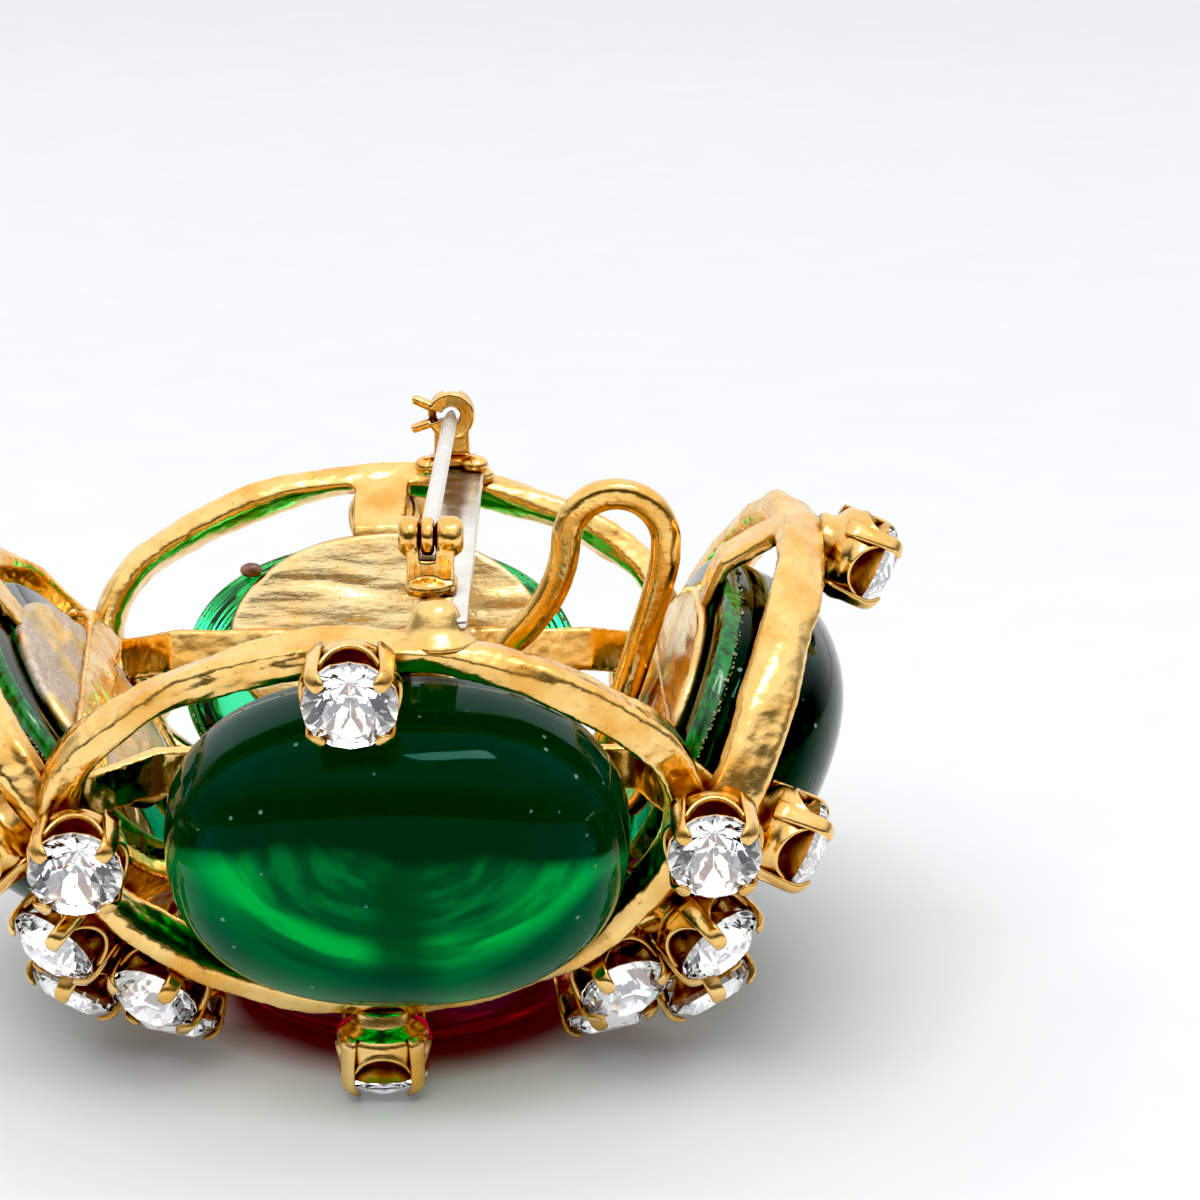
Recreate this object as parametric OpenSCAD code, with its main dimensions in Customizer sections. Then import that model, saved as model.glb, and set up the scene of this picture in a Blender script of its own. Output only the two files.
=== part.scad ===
// Domed pendant brooch lying face down: four open oval petals round a red glass centre.
// Units are millimetres, +Z is up, the front petal of the picture faces -Y.

/* [Petal hoops] */
// half width of the front, right and left hoops, centre line
hoop_half_w = 21.4; // [21:0.1:21.8]
// height of the junction of the hoops above the table
junction_h = 22.1; // [22:0.1:22.4]
// thickness of the hoop's band seen from outside the petal
band_w = 2.1; // [1.8:0.1:2.2]
// depth of the hoop's band across the petal
band_d = 3.1; // [2.6:0.1:3.2]

/* [Straps and plates] */
// height of the strap that crosses each petal
strap_h = 3.4; // [2.5:0.1:4]
// width of the upright straps
upright_w = 4.2; // [3:0.1:5]
// half length of the oval back plate
plate_a = 12.3; // [11:0.1:12.6]
// half height of the oval back plate
plate_b = 8.45; // [7:0.05:8.6]
// thickness of the back plate
plate_t = 0.9; // [0.7:0.1:1]

/* [Glass cabochons] */
// thickness of the green cabochons
cab_h = 12.3; // [9:0.1:13]
// radius of the red centre cabochon
red_r = 13.8; // [12:0.1:13.8]

/* [Round stones and their settings] */
// girdle radius of the round stones
stone_r = 3.15; // [2.8:0.05:3.15]
// height of a stone's crown above its girdle
crown_h = 0.95; // [0.6:0.05:1.1]

/* [Hook, pin and catch] */
// radius of the hook's wire
hook_wire = 0.98; // [0.8:0.02:1.04]
// width of the flat bar that carries the pin
bar_w = 3.4; // [2.6:0.1:4]
// radius of the pin stem at its joint
stem_r = 0.62; // [0.5:0.01:0.65]

/* [Hidden] */

gold = [0.86, 0.66, 0.30];
silver = [0.85, 0.83, 0.78];
green = [0.02, 0.35, 0.18];
red = [0.55, 0.02, 0.06];
clear = [0.90, 0.93, 0.95];

glass_power = 2.3;
round_fn = 64;
cup_fn = 32;
gap = 0.12;

// ends of the hoops: radius, half the gap between two arcs in a joint, the joint's sleeve
end_r = 8.35;
half_cut = 0.15;
sleeve_l = 1.0;
sleeve_t = 0.05;

// the row's origin stands under the middle of the box
shift_x = 0.877;
shift_y = -0.614;

// one row a petal: turn about Z, distance of its foot line, sideways place, lean,
// half width of the hoop, its upper and lower half heights, height of its middle,
// inner face of the glass
FRONT = 0;
RIGHT = 1;
BACK = 2;
LEFT = 3;
p_turn = 0;
p_out = 1;
p_side = 2;
p_lean = 3;
p_half = 4;
p_up = 5;
p_low = 6;
p_mid = 7;
p_glass = 8;
petals = [
    [-90, 21.5, 0.0, 13.4, hoop_half_w, 13.0, 14.9, 0.0, -3.6],
    [0, 23.85, -0.5, 24.3, hoop_half_w, 15.7, 13.6, 0.0, -3.3],
    [90, 21.5, 0.0, 25.0, hoop_half_w + 0.9, 13.0, 14.8, -0.85, -4.3],
    [184, 23.2, -1.6, 38.0, hoop_half_w, 13.6, 14.0, 0.0, -1.9]
];

// one row a petal for what it carries: the glass (along, up, half length, half height),
// the plate (along, up), the straps (height of the cross strap, place of the upright),
// the tip stone (along, up) and the end stones (along, up for each)
g_w = 0;
g_q = 1;
g_a = 2;
g_b = 3;
plate_w = 4;
plate_q = 5;
cross_q = 6;
upright_q = 7;
tip_w = 8;
tip_q = 9;
end_a_w = 10;
end_a_q = 11;
end_b_w = 12;
end_b_q = 13;
seats = [
    [1.6, -2.15, 15.9, 11.5, 1.6, 0.5, 0.8, 0.6, -1.05, 12.5, -19.6, -0.4, 22.85, 0.5],
    [0.0, -0.8, 15.9, 11.5, 0.0, -0.4, 0.0, 0.0, 0.0, 15.3, -19.5, -0.5, 20.5, 0.0],
    [0.5, -3.9, 15.5, 10.5, 0.05, -1.5, -2.4, 0.6, 0.0, 9.9, -20.9, -3.6, 20.9, -3.6],
    [0.0, -0.8, 15.9, 11.5, 0.0, -0.4, 0.0, 0.0, 0.0, 14.6, -20.5, 0.0, 19.8, 1.0]
];

// the red glass and the plate over it
red_x = 1.8;
red_top = 7.35;
mount_z = red_top + 0.1;
mount_t = 1.2;
mount_r = 12.4;

// one row a petal for its base stone: distance outward and sideways
base_out_c = 0;
base_side = 1;
base_lift = 0.6;
bases = [
    [17.95, 0.3],
    [19.4, 0.12],
    [18.1, -0.6],
    [17.6, -1.6]
];

// setting of one round stone, measured from its foot along its own axis
neck_h = 1.2;
neck_r = 2.2;
cup_r = 3.3;
cup_wall = 0.45;
cup_floor = 0.5;
cup_top = 4.3;
arch_r = 1.42;
arch_z = 4.5;
girdle_z = 4.7;
girdle_t = 0.45;
table_r = 1.8;
culet_drop = 2.6;
prong_w = 1.25;
prong_t = 0.5;
post_r = 1.5;
stone_top = girdle_z + girdle_t + crown_h;

// thickness of the upright straps behind the glass
strap_t = 0.8;

// the face of the back plate that carries the glass
function plate_face(i) = petals[i][p_glass] - 0.1;

// frame of one petal: X along the petal, Y up its plane, Z outward
module at_petal(i) {
    rotate([0, 0, petals[i][p_turn]])
        translate([petals[i][p_out], petals[i][p_side], junction_h])
            rotate([0, petals[i][p_lean], 0])
                rotate([90, 0, 90])
                    children();
}

// a solid through rings of equal count, the first ring lowest
module loft(rings) {
    n = len(rings[0]);
    m = len(rings);
    pts = [for (r = rings) for (p = r) p];
    sides = [for (j = [0:m - 2]) for (k = [0:n - 1])
        [j * n + k, (j + 1) * n + k, (j + 1) * n + (k + 1) % n, j * n + (k + 1) % n]];
    low = [for (k = [0:n - 1]) k];
    high = [for (k = [0:n - 1]) m * n - 1 - k];
    polyhedron(points = pts, faces = concat([low], sides, [high]), convexity = 4);
}

// four-centre oval: the flat arc's radius from half width, half height and end radius
function flat_r(a, b, r) = ((a - r) * (a - r) + b * b - r * r) / (2 * (b - r));

module band_profile(grow) {
    w = band_w / 2 + grow;
    d = band_d / 2 + grow;
    c = 0.55;
    polygon([[-w, -d + c], [-w + c, -d], [w - c, -d], [w, -d + c],
             [w, d - c], [w - c, d], [-w + c, d], [-w, d - c]]);
}

module band_arc(x, y, r, from, sweep, grow) {
    translate([x, y, 0])
        rotate([0, 0, from])
            rotate_extrude(angle = sweep, $fn = round_fn)
                translate([r, 0])
                    band_profile(grow);
}

// half the angle that the flat arc of a half hoop spans
function flat_half(a, b) = atan2(a - end_r, flat_r(a, b, end_r) - b);

// flat arc of a half hoop, its ends inside the joint sleeves
module flat_arc(a, b, grow) {
    flat = flat_r(a, b, end_r);
    half = flat_half(a, b);
    cut = half_cut * 180 / (PI * flat);
    band_arc(0, b - flat, flat, 90 - half + cut, 2 * (half - cut), grow);
}

// end arc of a hoop with a thin sleeve over each joint to the flat arcs
module end_arc(a, up, low, grow) {
    to_top = 90 - flat_half(a, up);
    to_low = 90 - flat_half(a, low);
    cut = half_cut * 180 / (PI * end_r);
    band_arc(a - end_r, 0, end_r, cut - to_low, to_low + to_top - 2 * cut, grow);
    for (t = [-to_low, to_top])
        translate([a - end_r, 0, 0])
            rotate([0, 0, t])
                translate([end_r, 0, 0])
                    rotate([90, 0, 0])
                        linear_extrude(height = sleeve_l, center = true)
                            band_profile(grow + sleeve_t);
}

// outline of a cabochon: fuller than an oval
function outline_r(t, power) = pow(pow(abs(cos(t)), power) + pow(abs(sin(t)), power), -1 / power);

// room for the glass inside the hoop
module glass_room(i) {
    count = 48;
    a = seats[i][g_a] + gap;
    b = seats[i][g_b] + gap;
    outline = [for (k = [0:count - 1])
        let (t = k * 360 / count, o = outline_r(t, glass_power))
        [a * o * cos(t), b * o * sin(t)]];
    translate([seats[i][g_w], seats[i][g_q], -band_d / 2 - 0.1])
        linear_extrude(height = band_d + 0.2)
            polygon(outline);
}

module hoop(i, grow = 0) {
    a = petals[i][p_half];
    up = petals[i][p_up];
    low = petals[i][p_low];
    translate([0, petals[i][p_mid], 0]) {
        flat_arc(a, up, grow);
        rotate([0, 0, 180])
            flat_arc(a, low, grow);
        end_arc(a, up, low, grow);
        rotate([0, 0, 180])
            end_arc(a, low, up, grow);
    }
}

module plate(i) {
    count = 48;
    outline = [for (k = [0:count - 1])
        [plate_a * cos(k * 360 / count), plate_b * sin(k * 360 / count)]];
    translate([seats[i][plate_w], seats[i][plate_q], plate_face(i) - plate_t])
        linear_extrude(height = plate_t)
            polygon(outline);
}

// strap across the petal: from one end of the hoop behind the plate to the other
module cross_strap(i, grow = 0) {
    w = petals[i][p_half] - 0.9;
    f = plate_face(i) - plate_t;
    low = seats[i][g_w] - seats[i][g_a] - 0.3;
    high = seats[i][g_w] + seats[i][g_a] + 0.3;
    translate([0, seats[i][cross_q], 0])
        rotate([90, 0, 0])
            linear_extrude(height = strap_h + 2 * grow, center = true)
                polygon([[-w, -0.2 + grow], [low, f + 0.5 + grow],
                         [high, f + 0.5 + grow], [w, -0.2 + grow],
                         [w + 0.6 + grow, -0.6], [w, -1.1 - grow], [high + 0.5, f - 0.4 - grow],
                         [low - 0.5, f - 0.4 - grow], [-w, -1.1 - grow], [-w - 0.6 - grow, -0.6]]);
}

// upright strap from the hoop's tip or base behind the glass to the plate's rim
module upright_strap(i, sign) {
    reach = sign > 0 ? petals[i][p_up] : petals[i][p_low];
    rim = seats[i][plate_q] + sign * (plate_b - 0.6);
    edge = seats[i][g_q] + sign * (seats[i][g_b] + 0.25);
    f = plate_face(i);
    top = petals[i][p_mid] + sign * (reach - 0.7);
    translate([seats[i][upright_q], 0, 0])
        rotate([90, 0, 90])
            linear_extrude(height = upright_w, center = true)
                polygon([[rim, f - 0.02], [edge, f - 0.02], [top, -0.4], [top + sign * 0.7, -1.3],
                         [edge + sign * 0.6, f - strap_t], [rim - sign, f - strap_t]]);
}

// setting: neck, cup with a rim of four arches, four prongs bent over the crown
module setting() {
    cylinder(r = neck_r, h = neck_h + 0.1, $fn = cup_fn);
    difference() {
        translate([0, 0, neck_h])
            cylinder(r = cup_r, h = cup_top - neck_h, $fn = cup_fn);
        translate([0, 0, neck_h + cup_floor])
            cylinder(r = cup_r - cup_wall, h = cup_top, $fn = cup_fn);
        for (a = [0, 90])
            rotate([90, 0, a])
                translate([0, arch_z, -cup_r - 1])
                    cylinder(r = arch_r, h = 2 * cup_r + 2, $fn = cup_fn);
    }
    for (a = [45:90:315])
        rotate([0, 0, a])
            prong();
}

// one prong drawn in its own upright plane and made prong_w wide
module prong() {
    inner = stone_r + 0.06;
    lean = atan2(crown_h, stone_r - table_r);
    tip = 0.85;
    foot_z = neck_h + 0.6;
    bend_z = girdle_z + girdle_t + 0.1;
    rotate([90, 0, 0])
        linear_extrude(height = prong_w, center = true)
            polygon([[inner - 0.5, foot_z], [inner + prong_t, foot_z],
                     [inner + prong_t, bend_z + 0.1],
                     [inner + prong_t - 0.2, bend_z + 0.42],
                     [inner - tip * cos(lean) + 0.15, bend_z + tip * sin(lean) + 0.38],
                     [inner - tip * cos(lean), bend_z + tip * sin(lean)],
                     [inner, bend_z], [inner, cup_top - 0.3], [inner - 0.5, cup_top - 0.3]]);
}

// round brilliant: octagon table, star, kite and girdle facets, eight-sided pavilion
module stone() {
    ring8 = function(r, z, turn) [for (k = [0:7]) [r * cos(k * 45 + turn), r * sin(k * 45 + turn), z]];
    ring16 = function(r, z) [for (k = [0:15]) [r * cos(k * 22.5), r * sin(k * 22.5), z]];
    top = girdle_z + girdle_t;
    pts = concat(
        ring8(table_r, stone_top, 0),
        ring8(2.62, top + 0.42 * crown_h, 22.5),
        ring16(stone_r, top),
        ring16(stone_r, girdle_z),
        ring8(1.25, girdle_z - 0.66 * culet_drop, 0),
        [[0, 0, girdle_z - culet_drop]]);
    t = 0;
    s = 8;
    g = 16;
    h = 32;
    q = 48;
    culet = 56;
    faces = concat(
        [[for (k = [7:-1:0]) t + k]],
        [for (k = [0:7]) [t + k, t + (k + 1) % 8, s + k]],
        [for (k = [0:7]) [t + k, s + k, g + 2 * k]],
        [for (k = [0:7]) [t + k, g + 2 * k, s + (k + 7) % 8]],
        [for (k = [0:7]) [s + k, g + 2 * k + 1, g + 2 * k]],
        [for (k = [0:7]) [s + k, g + (2 * k + 2) % 16, g + 2 * k + 1]],
        [for (k = [0:15]) [g + k, g + (k + 1) % 16, h + (k + 1) % 16, h + k]],
        [for (k = [0:7]) [q + k, h + 2 * k, h + 2 * k + 1]],
        [for (k = [0:7]) [q + k, h + 2 * k + 1, q + (k + 1) % 8]],
        [for (k = [0:7]) [q + (k + 1) % 8, h + 2 * k + 1, h + (2 * k + 2) % 16]],
        [for (k = [0:7]) [culet, q + k, q + (k + 1) % 8]]);
    polyhedron(points = pts, faces = faces, convexity = 4);
}

// places of the four settings of one petal
module at_seat(i, w, q) {
    at_petal(i)
        translate([w, q, band_d / 2 - 0.1])
            children();
}

module at_tip(i) {
    at_seat(i, seats[i][tip_w], seats[i][tip_q])
        children();
}

module at_end_a(i) {
    at_seat(i, seats[i][end_a_w], seats[i][end_a_q])
        children();
}

module at_end_b(i) {
    at_seat(i, seats[i][end_b_w], seats[i][end_b_q])
        children();
}

// the base stones point straight down
module at_base(i) {
    rotate([0, 0, petals[i][p_turn]])
        translate([bases[i][base_out_c], bases[i][base_side], stone_top + base_lift])
            rotate([180, 0, 0])
                children();
}

// lowest point of a hoop's centre line, in the turned frame of its petal
function hoop_foot(i) =
    let (reach = petals[i][p_low] - petals[i][p_mid])
    [petals[i][p_out] - reach * sin(petals[i][p_lean]), petals[i][p_side],
     junction_h - reach * cos(petals[i][p_lean])];

// direction of a vector as turns about Y and Z
function tip_turn(v) = [0, acos(v[2] / norm(v)), atan2(v[1], v[0])];

module rod(a, b, r, spin = 0) {
    translate(a)
        rotate(tip_turn(b - a))
            rotate([0, 0, spin])
                cylinder(r = r, h = norm(b - a), $fn = cup_fn);
}

module base_post(i) {
    foot = [bases[i][base_out_c], bases[i][base_side], stone_top + base_lift - 0.9];
    rotate([0, 0, petals[i][p_turn]])
        rod(foot, 0.2 * foot + 0.8 * hoop_foot(i), post_r, 50);
}

module petal_frame(i) {
    at_petal(i) {
        difference() {
            hoop(i);
            glass_room(i);
        }
        plate(i);
        cross_strap(i);
        upright_strap(i, 1);
        upright_strap(i, -1);
    }
    at_tip(i) setting();
    at_end_a(i) setting();
    at_end_b(i) setting();
    at_base(i) setting();
    base_post(i);
}

// room round the foot of an end setting
module neck_room() {
    translate([0, 0, -0.2])
        cylinder(r = neck_r + 0.24, h = neck_h + 0.05, $fn = cup_fn);
}

// the side petals stop short of the front and back hoops that they meet
module side_frame(i) {
    side_gap = 0.22;
    difference() {
        petal_frame(i);
        for (i = [FRONT, BACK]) {
            at_petal(i) {
                hoop(i, side_gap);
                cross_strap(i, side_gap);
            }
            at_end_a(i) neck_room();
            at_end_b(i) neck_room();
        }
    }
}

module placed() {
    translate([shift_x, shift_y, 0])
        children();
}

module frame_front() {
    color(gold) placed() petal_frame(FRONT);
}

module frame_back() {
    color(gold) placed() petal_frame(BACK);
}

module frame_right() {
    color(gold) placed() side_frame(RIGHT);
}

module frame_left() {
    color(gold) placed() side_frame(LEFT);
}

// where a strut of the centre mount meets its hoop
function strut_end(i, strut_r) =
    let (foot = hoop_foot(i))
    [foot[0] - 1.2, foot[1], max(foot[2], mount_z + strut_r)];

// plate over the red glass with a strut to the lowest point of each hoop
module centre_mount() {
    strut_r = 1.2;
    color(gold) placed()
        difference() {
            union() {
                translate([red_x, 0, mount_z])
                    cylinder(r = mount_r, h = mount_t, $fn = round_fn);
                for (i = [FRONT:LEFT])
                    rotate([0, 0, petals[i][p_turn]])
                        rod([9, 0, mount_z + strut_r], strut_end(i, strut_r), strut_r);
            }
            for (i = [FRONT:LEFT]) {
                strap_end = petals[i][p_mid] - petals[i][p_low] - 0.2;
                at_petal(i) {
                    hoop(i, gap);
                    translate([-upright_w, strap_end, plate_face(i) - strap_t - gap])
                        cube([2 * upright_w, -strap_end, cab_h]);
                }
                rotate([0, 0, petals[i][p_turn]])
                    rod([bases[i][base_out_c], bases[i][base_side], stone_top + base_lift - 0.9],
                        hoop_foot(i), post_r + gap);
            }
        }
}

// one row a stone of a corner cluster: its girdle's middle (x, y, z) and its axis (x, y, z),
// for the left and the right corners, distances to the side and to the front or back;
// the back corners sit a little nearer
back_shift = 1.0;
left_corner = [
    [22.2, 19.3, 12.0, 0.56, 0.62, -0.55],
    [15.6, 18.2, 7.6, 0.34, 0.72, -0.60],
    [21.6, 14.2, 6.8, 0.47, 0.35, -0.81],
    [14.9, 12.0, 3.6, 0.20, 0.42, -0.88]
];
right_corner = [
    [23.7, 19.3, 11.5, 0.60, 0.60, -0.52],
    [17.2, 18.4, 8.0, 0.28, 0.75, -0.60],
    [23.3, 14.2, 6.2, 0.48, 0.35, -0.80],
    [16.4, 12.2, 3.6, 0.22, 0.42, -0.88]
];

function c_row(k, sx) = sx > 0 ? right_corner[k] : left_corner[k];
function c_point(k, sx, sy) =
    [c_row(k, sx)[0] * sx, c_row(k, sx)[1] * sy - (sy > 0 ? back_shift : 0), c_row(k, sx)[2]];
function c_dir(k, sx, sy) = [c_row(k, sx)[3] * sx, c_row(k, sx)[4] * sy, c_row(k, sx)[5]];
function c_axis(k, sx, sy) = c_dir(k, sx, sy) / norm(c_dir(k, sx, sy));

// a point on the axis of cluster setting k, h above the setting's foot
function c_at(k, sx, sy, h) = c_point(k, sx, sy) + (h - girdle_z) * c_axis(k, sx, sy);

module at_cluster(k, sx, sy) {
    translate(c_at(k, sx, sy, 0))
        rotate(tip_turn(c_axis(k, sx, sy)))
            children();
}

module cluster(sx, sy) {
    rod_r = 1.0;
    join_h = 1.5;
    side = sx > 0 ? RIGHT : LEFT;
    flank = sy > 0 ? BACK : FRONT;
    inner_end = [red_x + 8.8 * sx, 8.2 * sy, mount_z + mount_t + rod_r + 0.7];
    color(gold) placed()
        difference() {
            union() {
                for (k = [0:3])
                    at_cluster(k, sx, sy) setting();
                for (link = [[0, 1], [0, 2], [1, 3], [2, 3]])
                    rod(c_at(link[0], sx, sy, join_h), c_at(link[1], sx, sy, join_h), rod_r);
                rod(c_at(3, sx, sy, 0.6), inner_end, rod_r);
            }
            at_petal(side) hoop(side, gap);
            at_petal(flank) hoop(flank, gap);
            for (k = [0:3])
                at_cluster(k, sx, sy)
                    translate([0, 0, neck_h + cup_floor])
                        cylinder(r = cup_r - cup_wall, h = cup_top - neck_h, $fn = cup_fn);
        }
}

module cluster_front_left() cluster(-1, -1);
module cluster_front_right() cluster(1, -1);
module cluster_back_right() cluster(1, 1);
module cluster_back_left() cluster(-1, 1);

// hook: leg up from the right plate, round loop, tail back inward; places are [x, z]
leg = [
    [16.1, 18.6],
    [16.9, 20.8],
    [18.1, 24.4],
    [19.0, 27.4],
    [20.0, 30.7],
    [20.75, 33.6]
];
tail = [
    [13.55, 34.8],
    [13.3, 33.4],
    [12.6, 31.4],
    [11.2, 29.4],
    [8.9, 26.9]
];
loop_x = 17.2;
loop_z = 35.2;
loop_r = 3.65;
loop_from = -9;
loop_sweep = 195;
hook_y = -0.3;

// round wire through a list of places, with a slightly fuller ball at each bend
module wire(path, r) {
    for (k = [0:len(path) - 1])
        translate([path[k][0], 0, path[k][1]])
            sphere(r = 1.03 * r, $fn = cup_fn);
    for (k = [0:len(path) - 2])
        rod([path[k][0], 0, path[k][1]], [path[k + 1][0], 0, path[k + 1][1]], r);
}

module hook() {
    loop_end = loop_from + loop_sweep;
    start = [loop_x + loop_r * cos(loop_from), loop_z + loop_r * sin(loop_from)];
    end = [loop_x + loop_r * cos(loop_end), loop_z + loop_r * sin(loop_end)];
    color(gold) placed()
        translate([0, hook_y, 0]) {
            wire(concat(leg, [start]), hook_wire);
            translate([loop_x, 0, loop_z])
                rotate([90, 0, 0])
                    rotate([0, 0, loop_from])
                        rotate_extrude(angle = loop_sweep, $fn = round_fn)
                            translate([loop_r, 0])
                                circle(r = hook_wire, $fn = cup_fn);
            wire(concat([end], tail), hook_wire);
        }
}

// pin group: a frame of its own along the bar, front end at the origin
bar_y = -24.6;
bar_x = 4.85;
bar_z = 36.0;
bar_drop = 2.5;
bar_turn = -1.2;
bar_l = 50.1;
bar_t = 0.8;
joint_x = -1.4;
joint_mid = joint_x + 0.25;
stem_turn = 0.45;
joint_y = 7.6;
joint_z = 4.68;
knuckle_r = 1.38;
rivet_r = 0.44;
stem_rise = 0.57;
stem_l = 41.8;
catch_x = -0.83;
catch_y = 48.9;
catch_z = 5.08;
catch_r = 1.85;
collar_bore = 0.74;
sleeve_r = 1.16;

module at_bar() {
    translate([bar_x, bar_y, bar_z])
        rotate([-bar_drop, 0, bar_turn])
            children();
}

module along_x(x, y, z, r, l) {
    translate([x, y, z])
        rotate([0, 90, 0])
            cylinder(r = r, h = l, $fn = round_fn);
}

module along_y(x, y, z, r, l) {
    translate([x, y, z])
        rotate([-90, 0, 0])
            cylinder(r = r, h = l, $fn = round_fn);
}

module joint_fork() {
    eye = 1.0;
    left_l = 1.5;
    right_l = 1.95;
    foot_l = 2.6;
    foot_w = 3.2;
    left_x = joint_x - eye / 2 - left_l + 0.25;
    along_x(left_x, joint_y, joint_z, knuckle_r, left_l);
    along_x(left_x + left_l + eye, joint_y, joint_z, knuckle_r, right_l);
    along_x(left_x + 0.3, joint_y, joint_z, rivet_r, left_l + eye + right_l - 0.6);
    translate([left_x + 0.75, joint_y - foot_l / 2, bar_t - 0.1])
        cube([left_l - 0.75, foot_l, joint_z - bar_t - 0.4]);
    translate([left_x + left_l + eye, joint_y - foot_l / 2, bar_t - 0.1])
        cube([foot_w - left_l + 0.75 - eye, foot_l, joint_z - bar_t - 0.4]);
    translate([left_x + 0.75, joint_y - foot_l / 2, bar_t - 0.1])
        cube([foot_w, foot_l, 1.5]);
}

module catch_body() {
    wall_l = 1.2;
    slot = 1.3;
    difference() {
        union() {
            along_y(catch_x, catch_y, catch_z, catch_r, wall_l);
            translate([catch_x - 1.5, catch_y, bar_t - 0.1])
                cube([3.0, wall_l, catch_z - bar_t - 0.6]);
            translate([catch_x - 2.0, catch_y - 1.0, bar_t - 0.1])
                cube([4.2, wall_l + 1.2, 1.0]);
        }
        along_y(catch_x, catch_y - 1, catch_z, sleeve_r + 0.06, wall_l + 2);
        translate([catch_x - slot / 2, catch_y - 0.5, catch_z])
            cube([slot, wall_l + 1, catch_r + 1]);
    }
}

module pin_bar() {
    solder_r = 1.75;
    color(silver) placed()
        difference() {
            at_bar() {
                translate([-bar_w / 2, 0, 0])
                    cube([bar_w, bar_l, bar_t]);
                joint_fork();
                catch_body();
                translate([-0.4, 0.9, 0])
                    sphere(r = solder_r, $fn = 32);
            }
            at_petal(FRONT) hoop(FRONT, gap);
            at_petal(BACK) hoop(BACK, gap);
        }
}

module pin_stem() {
    eye = 0.9;
    eye_x = joint_mid - eye / 2;
    tip_l = 3.5;
    neck_l = 1.5;
    neck_h = 1.1;
    tip_r = 0.16;
    color(silver) placed()
        at_bar() {
            difference() {
                along_x(eye_x, joint_y, joint_z, knuckle_r - 0.06, eye);
                along_x(eye_x - 1, joint_y, joint_z, rivet_r + 0.06, eye + 2);
            }
            translate([joint_mid, joint_y, joint_z])
                rotate([stem_rise - 90, 0, -stem_turn]) {
                    translate([-eye / 2 + 0.01, -neck_h / 2, rivet_r + 0.3])
                        cube([eye - 0.02, neck_h, neck_l - rivet_r - 0.1]);
                    rotate_extrude($fn = round_fn)
                        polygon([[0, neck_l], [stem_r, neck_l], [0.9 * stem_r, stem_l - tip_l],
                                 [tip_r, stem_l], [0, stem_l]]);
                }
        }
}

// turning collar with two ears; its slot faces left at rest, so the catch is closed
module catch_collar() {
    front_l = 1.2;
    ear_l = 1.75;
    ear_t = 0.55;
    ear_w = 1.0;
    slot = 1.3;
    color(gold) placed()
        at_bar()
            difference() {
                union() {
                    along_y(catch_x, catch_y - front_l - 0.1, catch_z, catch_r, front_l);
                    along_y(catch_x, catch_y - 0.5, catch_z, sleeve_r, front_l + 0.6);
                    for (a = [24, -20])
                        translate([catch_x, catch_y - front_l + 0.05, catch_z])
                            rotate([0, a, 0])
                                translate([-catch_r - ear_l + 0.3, 0, -ear_t / 2])
                                    cube([ear_l, ear_w, ear_t]);
                }
                along_y(catch_x, catch_y - 3, catch_z, collar_bore, 6);
                translate([catch_x - catch_r - 0.2, catch_y - 3, catch_z - slot / 2 + 0.1])
                    cube([catch_r + 0.2, 6, slot - 0.2]);
            }
}

// domed oval glass: short skirt, then a full rounded dome; last is the angle of the ring
// round its flat top
module cabochon(a, b, h, power, skirt, corner_power, last = 88) {
    count = 48;
    steps = 9;
    dome_r = function(f) pow(cos(f), 2 / power);
    dome_z = function(f) pow(sin(f) / sin(last), 2 / power);
    rings = concat(
        [[0.90, 0], [1.0, 0.9]],
        [for (k = [0:steps]) let (f = k * last / steps)
            [dome_r(f), skirt + (h - skirt) * dome_z(f)]]);
    loft([for (r = rings) [for (k = [0:count - 1])
        let (t = k * 360 / count, o = r[0] * outline_r(t, corner_power))
        [a * o * cos(t), b * o * sin(t), r[1]]]]);
}

module green_cabochon(i) {
    color(green) placed()
        at_petal(i)
            translate([seats[i][g_w], seats[i][g_q], petals[i][p_glass]])
                cabochon(seats[i][g_a], seats[i][g_b], cab_h, 2.9, 2.0, glass_power);
}

module cabochon_front() green_cabochon(FRONT);
module cabochon_right() green_cabochon(RIGHT);
module cabochon_back() green_cabochon(BACK);
module cabochon_left() green_cabochon(LEFT);

module cabochon_centre() {
    color(red) placed()
        translate([red_x, 0, red_top])
            rotate([180, 0, 0])
                cabochon(red_r, red_r, red_top, 3.2, 2.0, 2.0, 79);
}

module tip_stone(i) {
    color(clear) placed() at_tip(i) stone();
}

module end_stone_a(i) {
    color(clear) placed() at_end_a(i) stone();
}

module end_stone_b(i) {
    color(clear) placed() at_end_b(i) stone();
}

module base_stone(i) {
    color(clear) placed() at_base(i) stone();
}

module cluster_stone(k, sx, sy) {
    color(clear) placed() at_cluster(k, sx, sy) stone();
}

module stone_front_tip() tip_stone(FRONT);
module stone_front_end_a() end_stone_a(FRONT);
module stone_front_end_b() end_stone_b(FRONT);
module stone_front_base() base_stone(FRONT);
module stone_right_tip() tip_stone(RIGHT);
module stone_right_end_a() end_stone_a(RIGHT);
module stone_right_end_b() end_stone_b(RIGHT);
module stone_right_base() base_stone(RIGHT);
module stone_back_tip() tip_stone(BACK);
module stone_back_end_a() end_stone_a(BACK);
module stone_back_end_b() end_stone_b(BACK);
module stone_back_base() base_stone(BACK);
module stone_left_tip() tip_stone(LEFT);
module stone_left_end_a() end_stone_a(LEFT);
module stone_left_end_b() end_stone_b(LEFT);
module stone_left_base() base_stone(LEFT);
module stone_front_left_1() cluster_stone(0, -1, -1);
module stone_front_left_2() cluster_stone(1, -1, -1);
module stone_front_left_3() cluster_stone(2, -1, -1);
module stone_front_left_4() cluster_stone(3, -1, -1);
module stone_front_right_1() cluster_stone(0, 1, -1);
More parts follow.
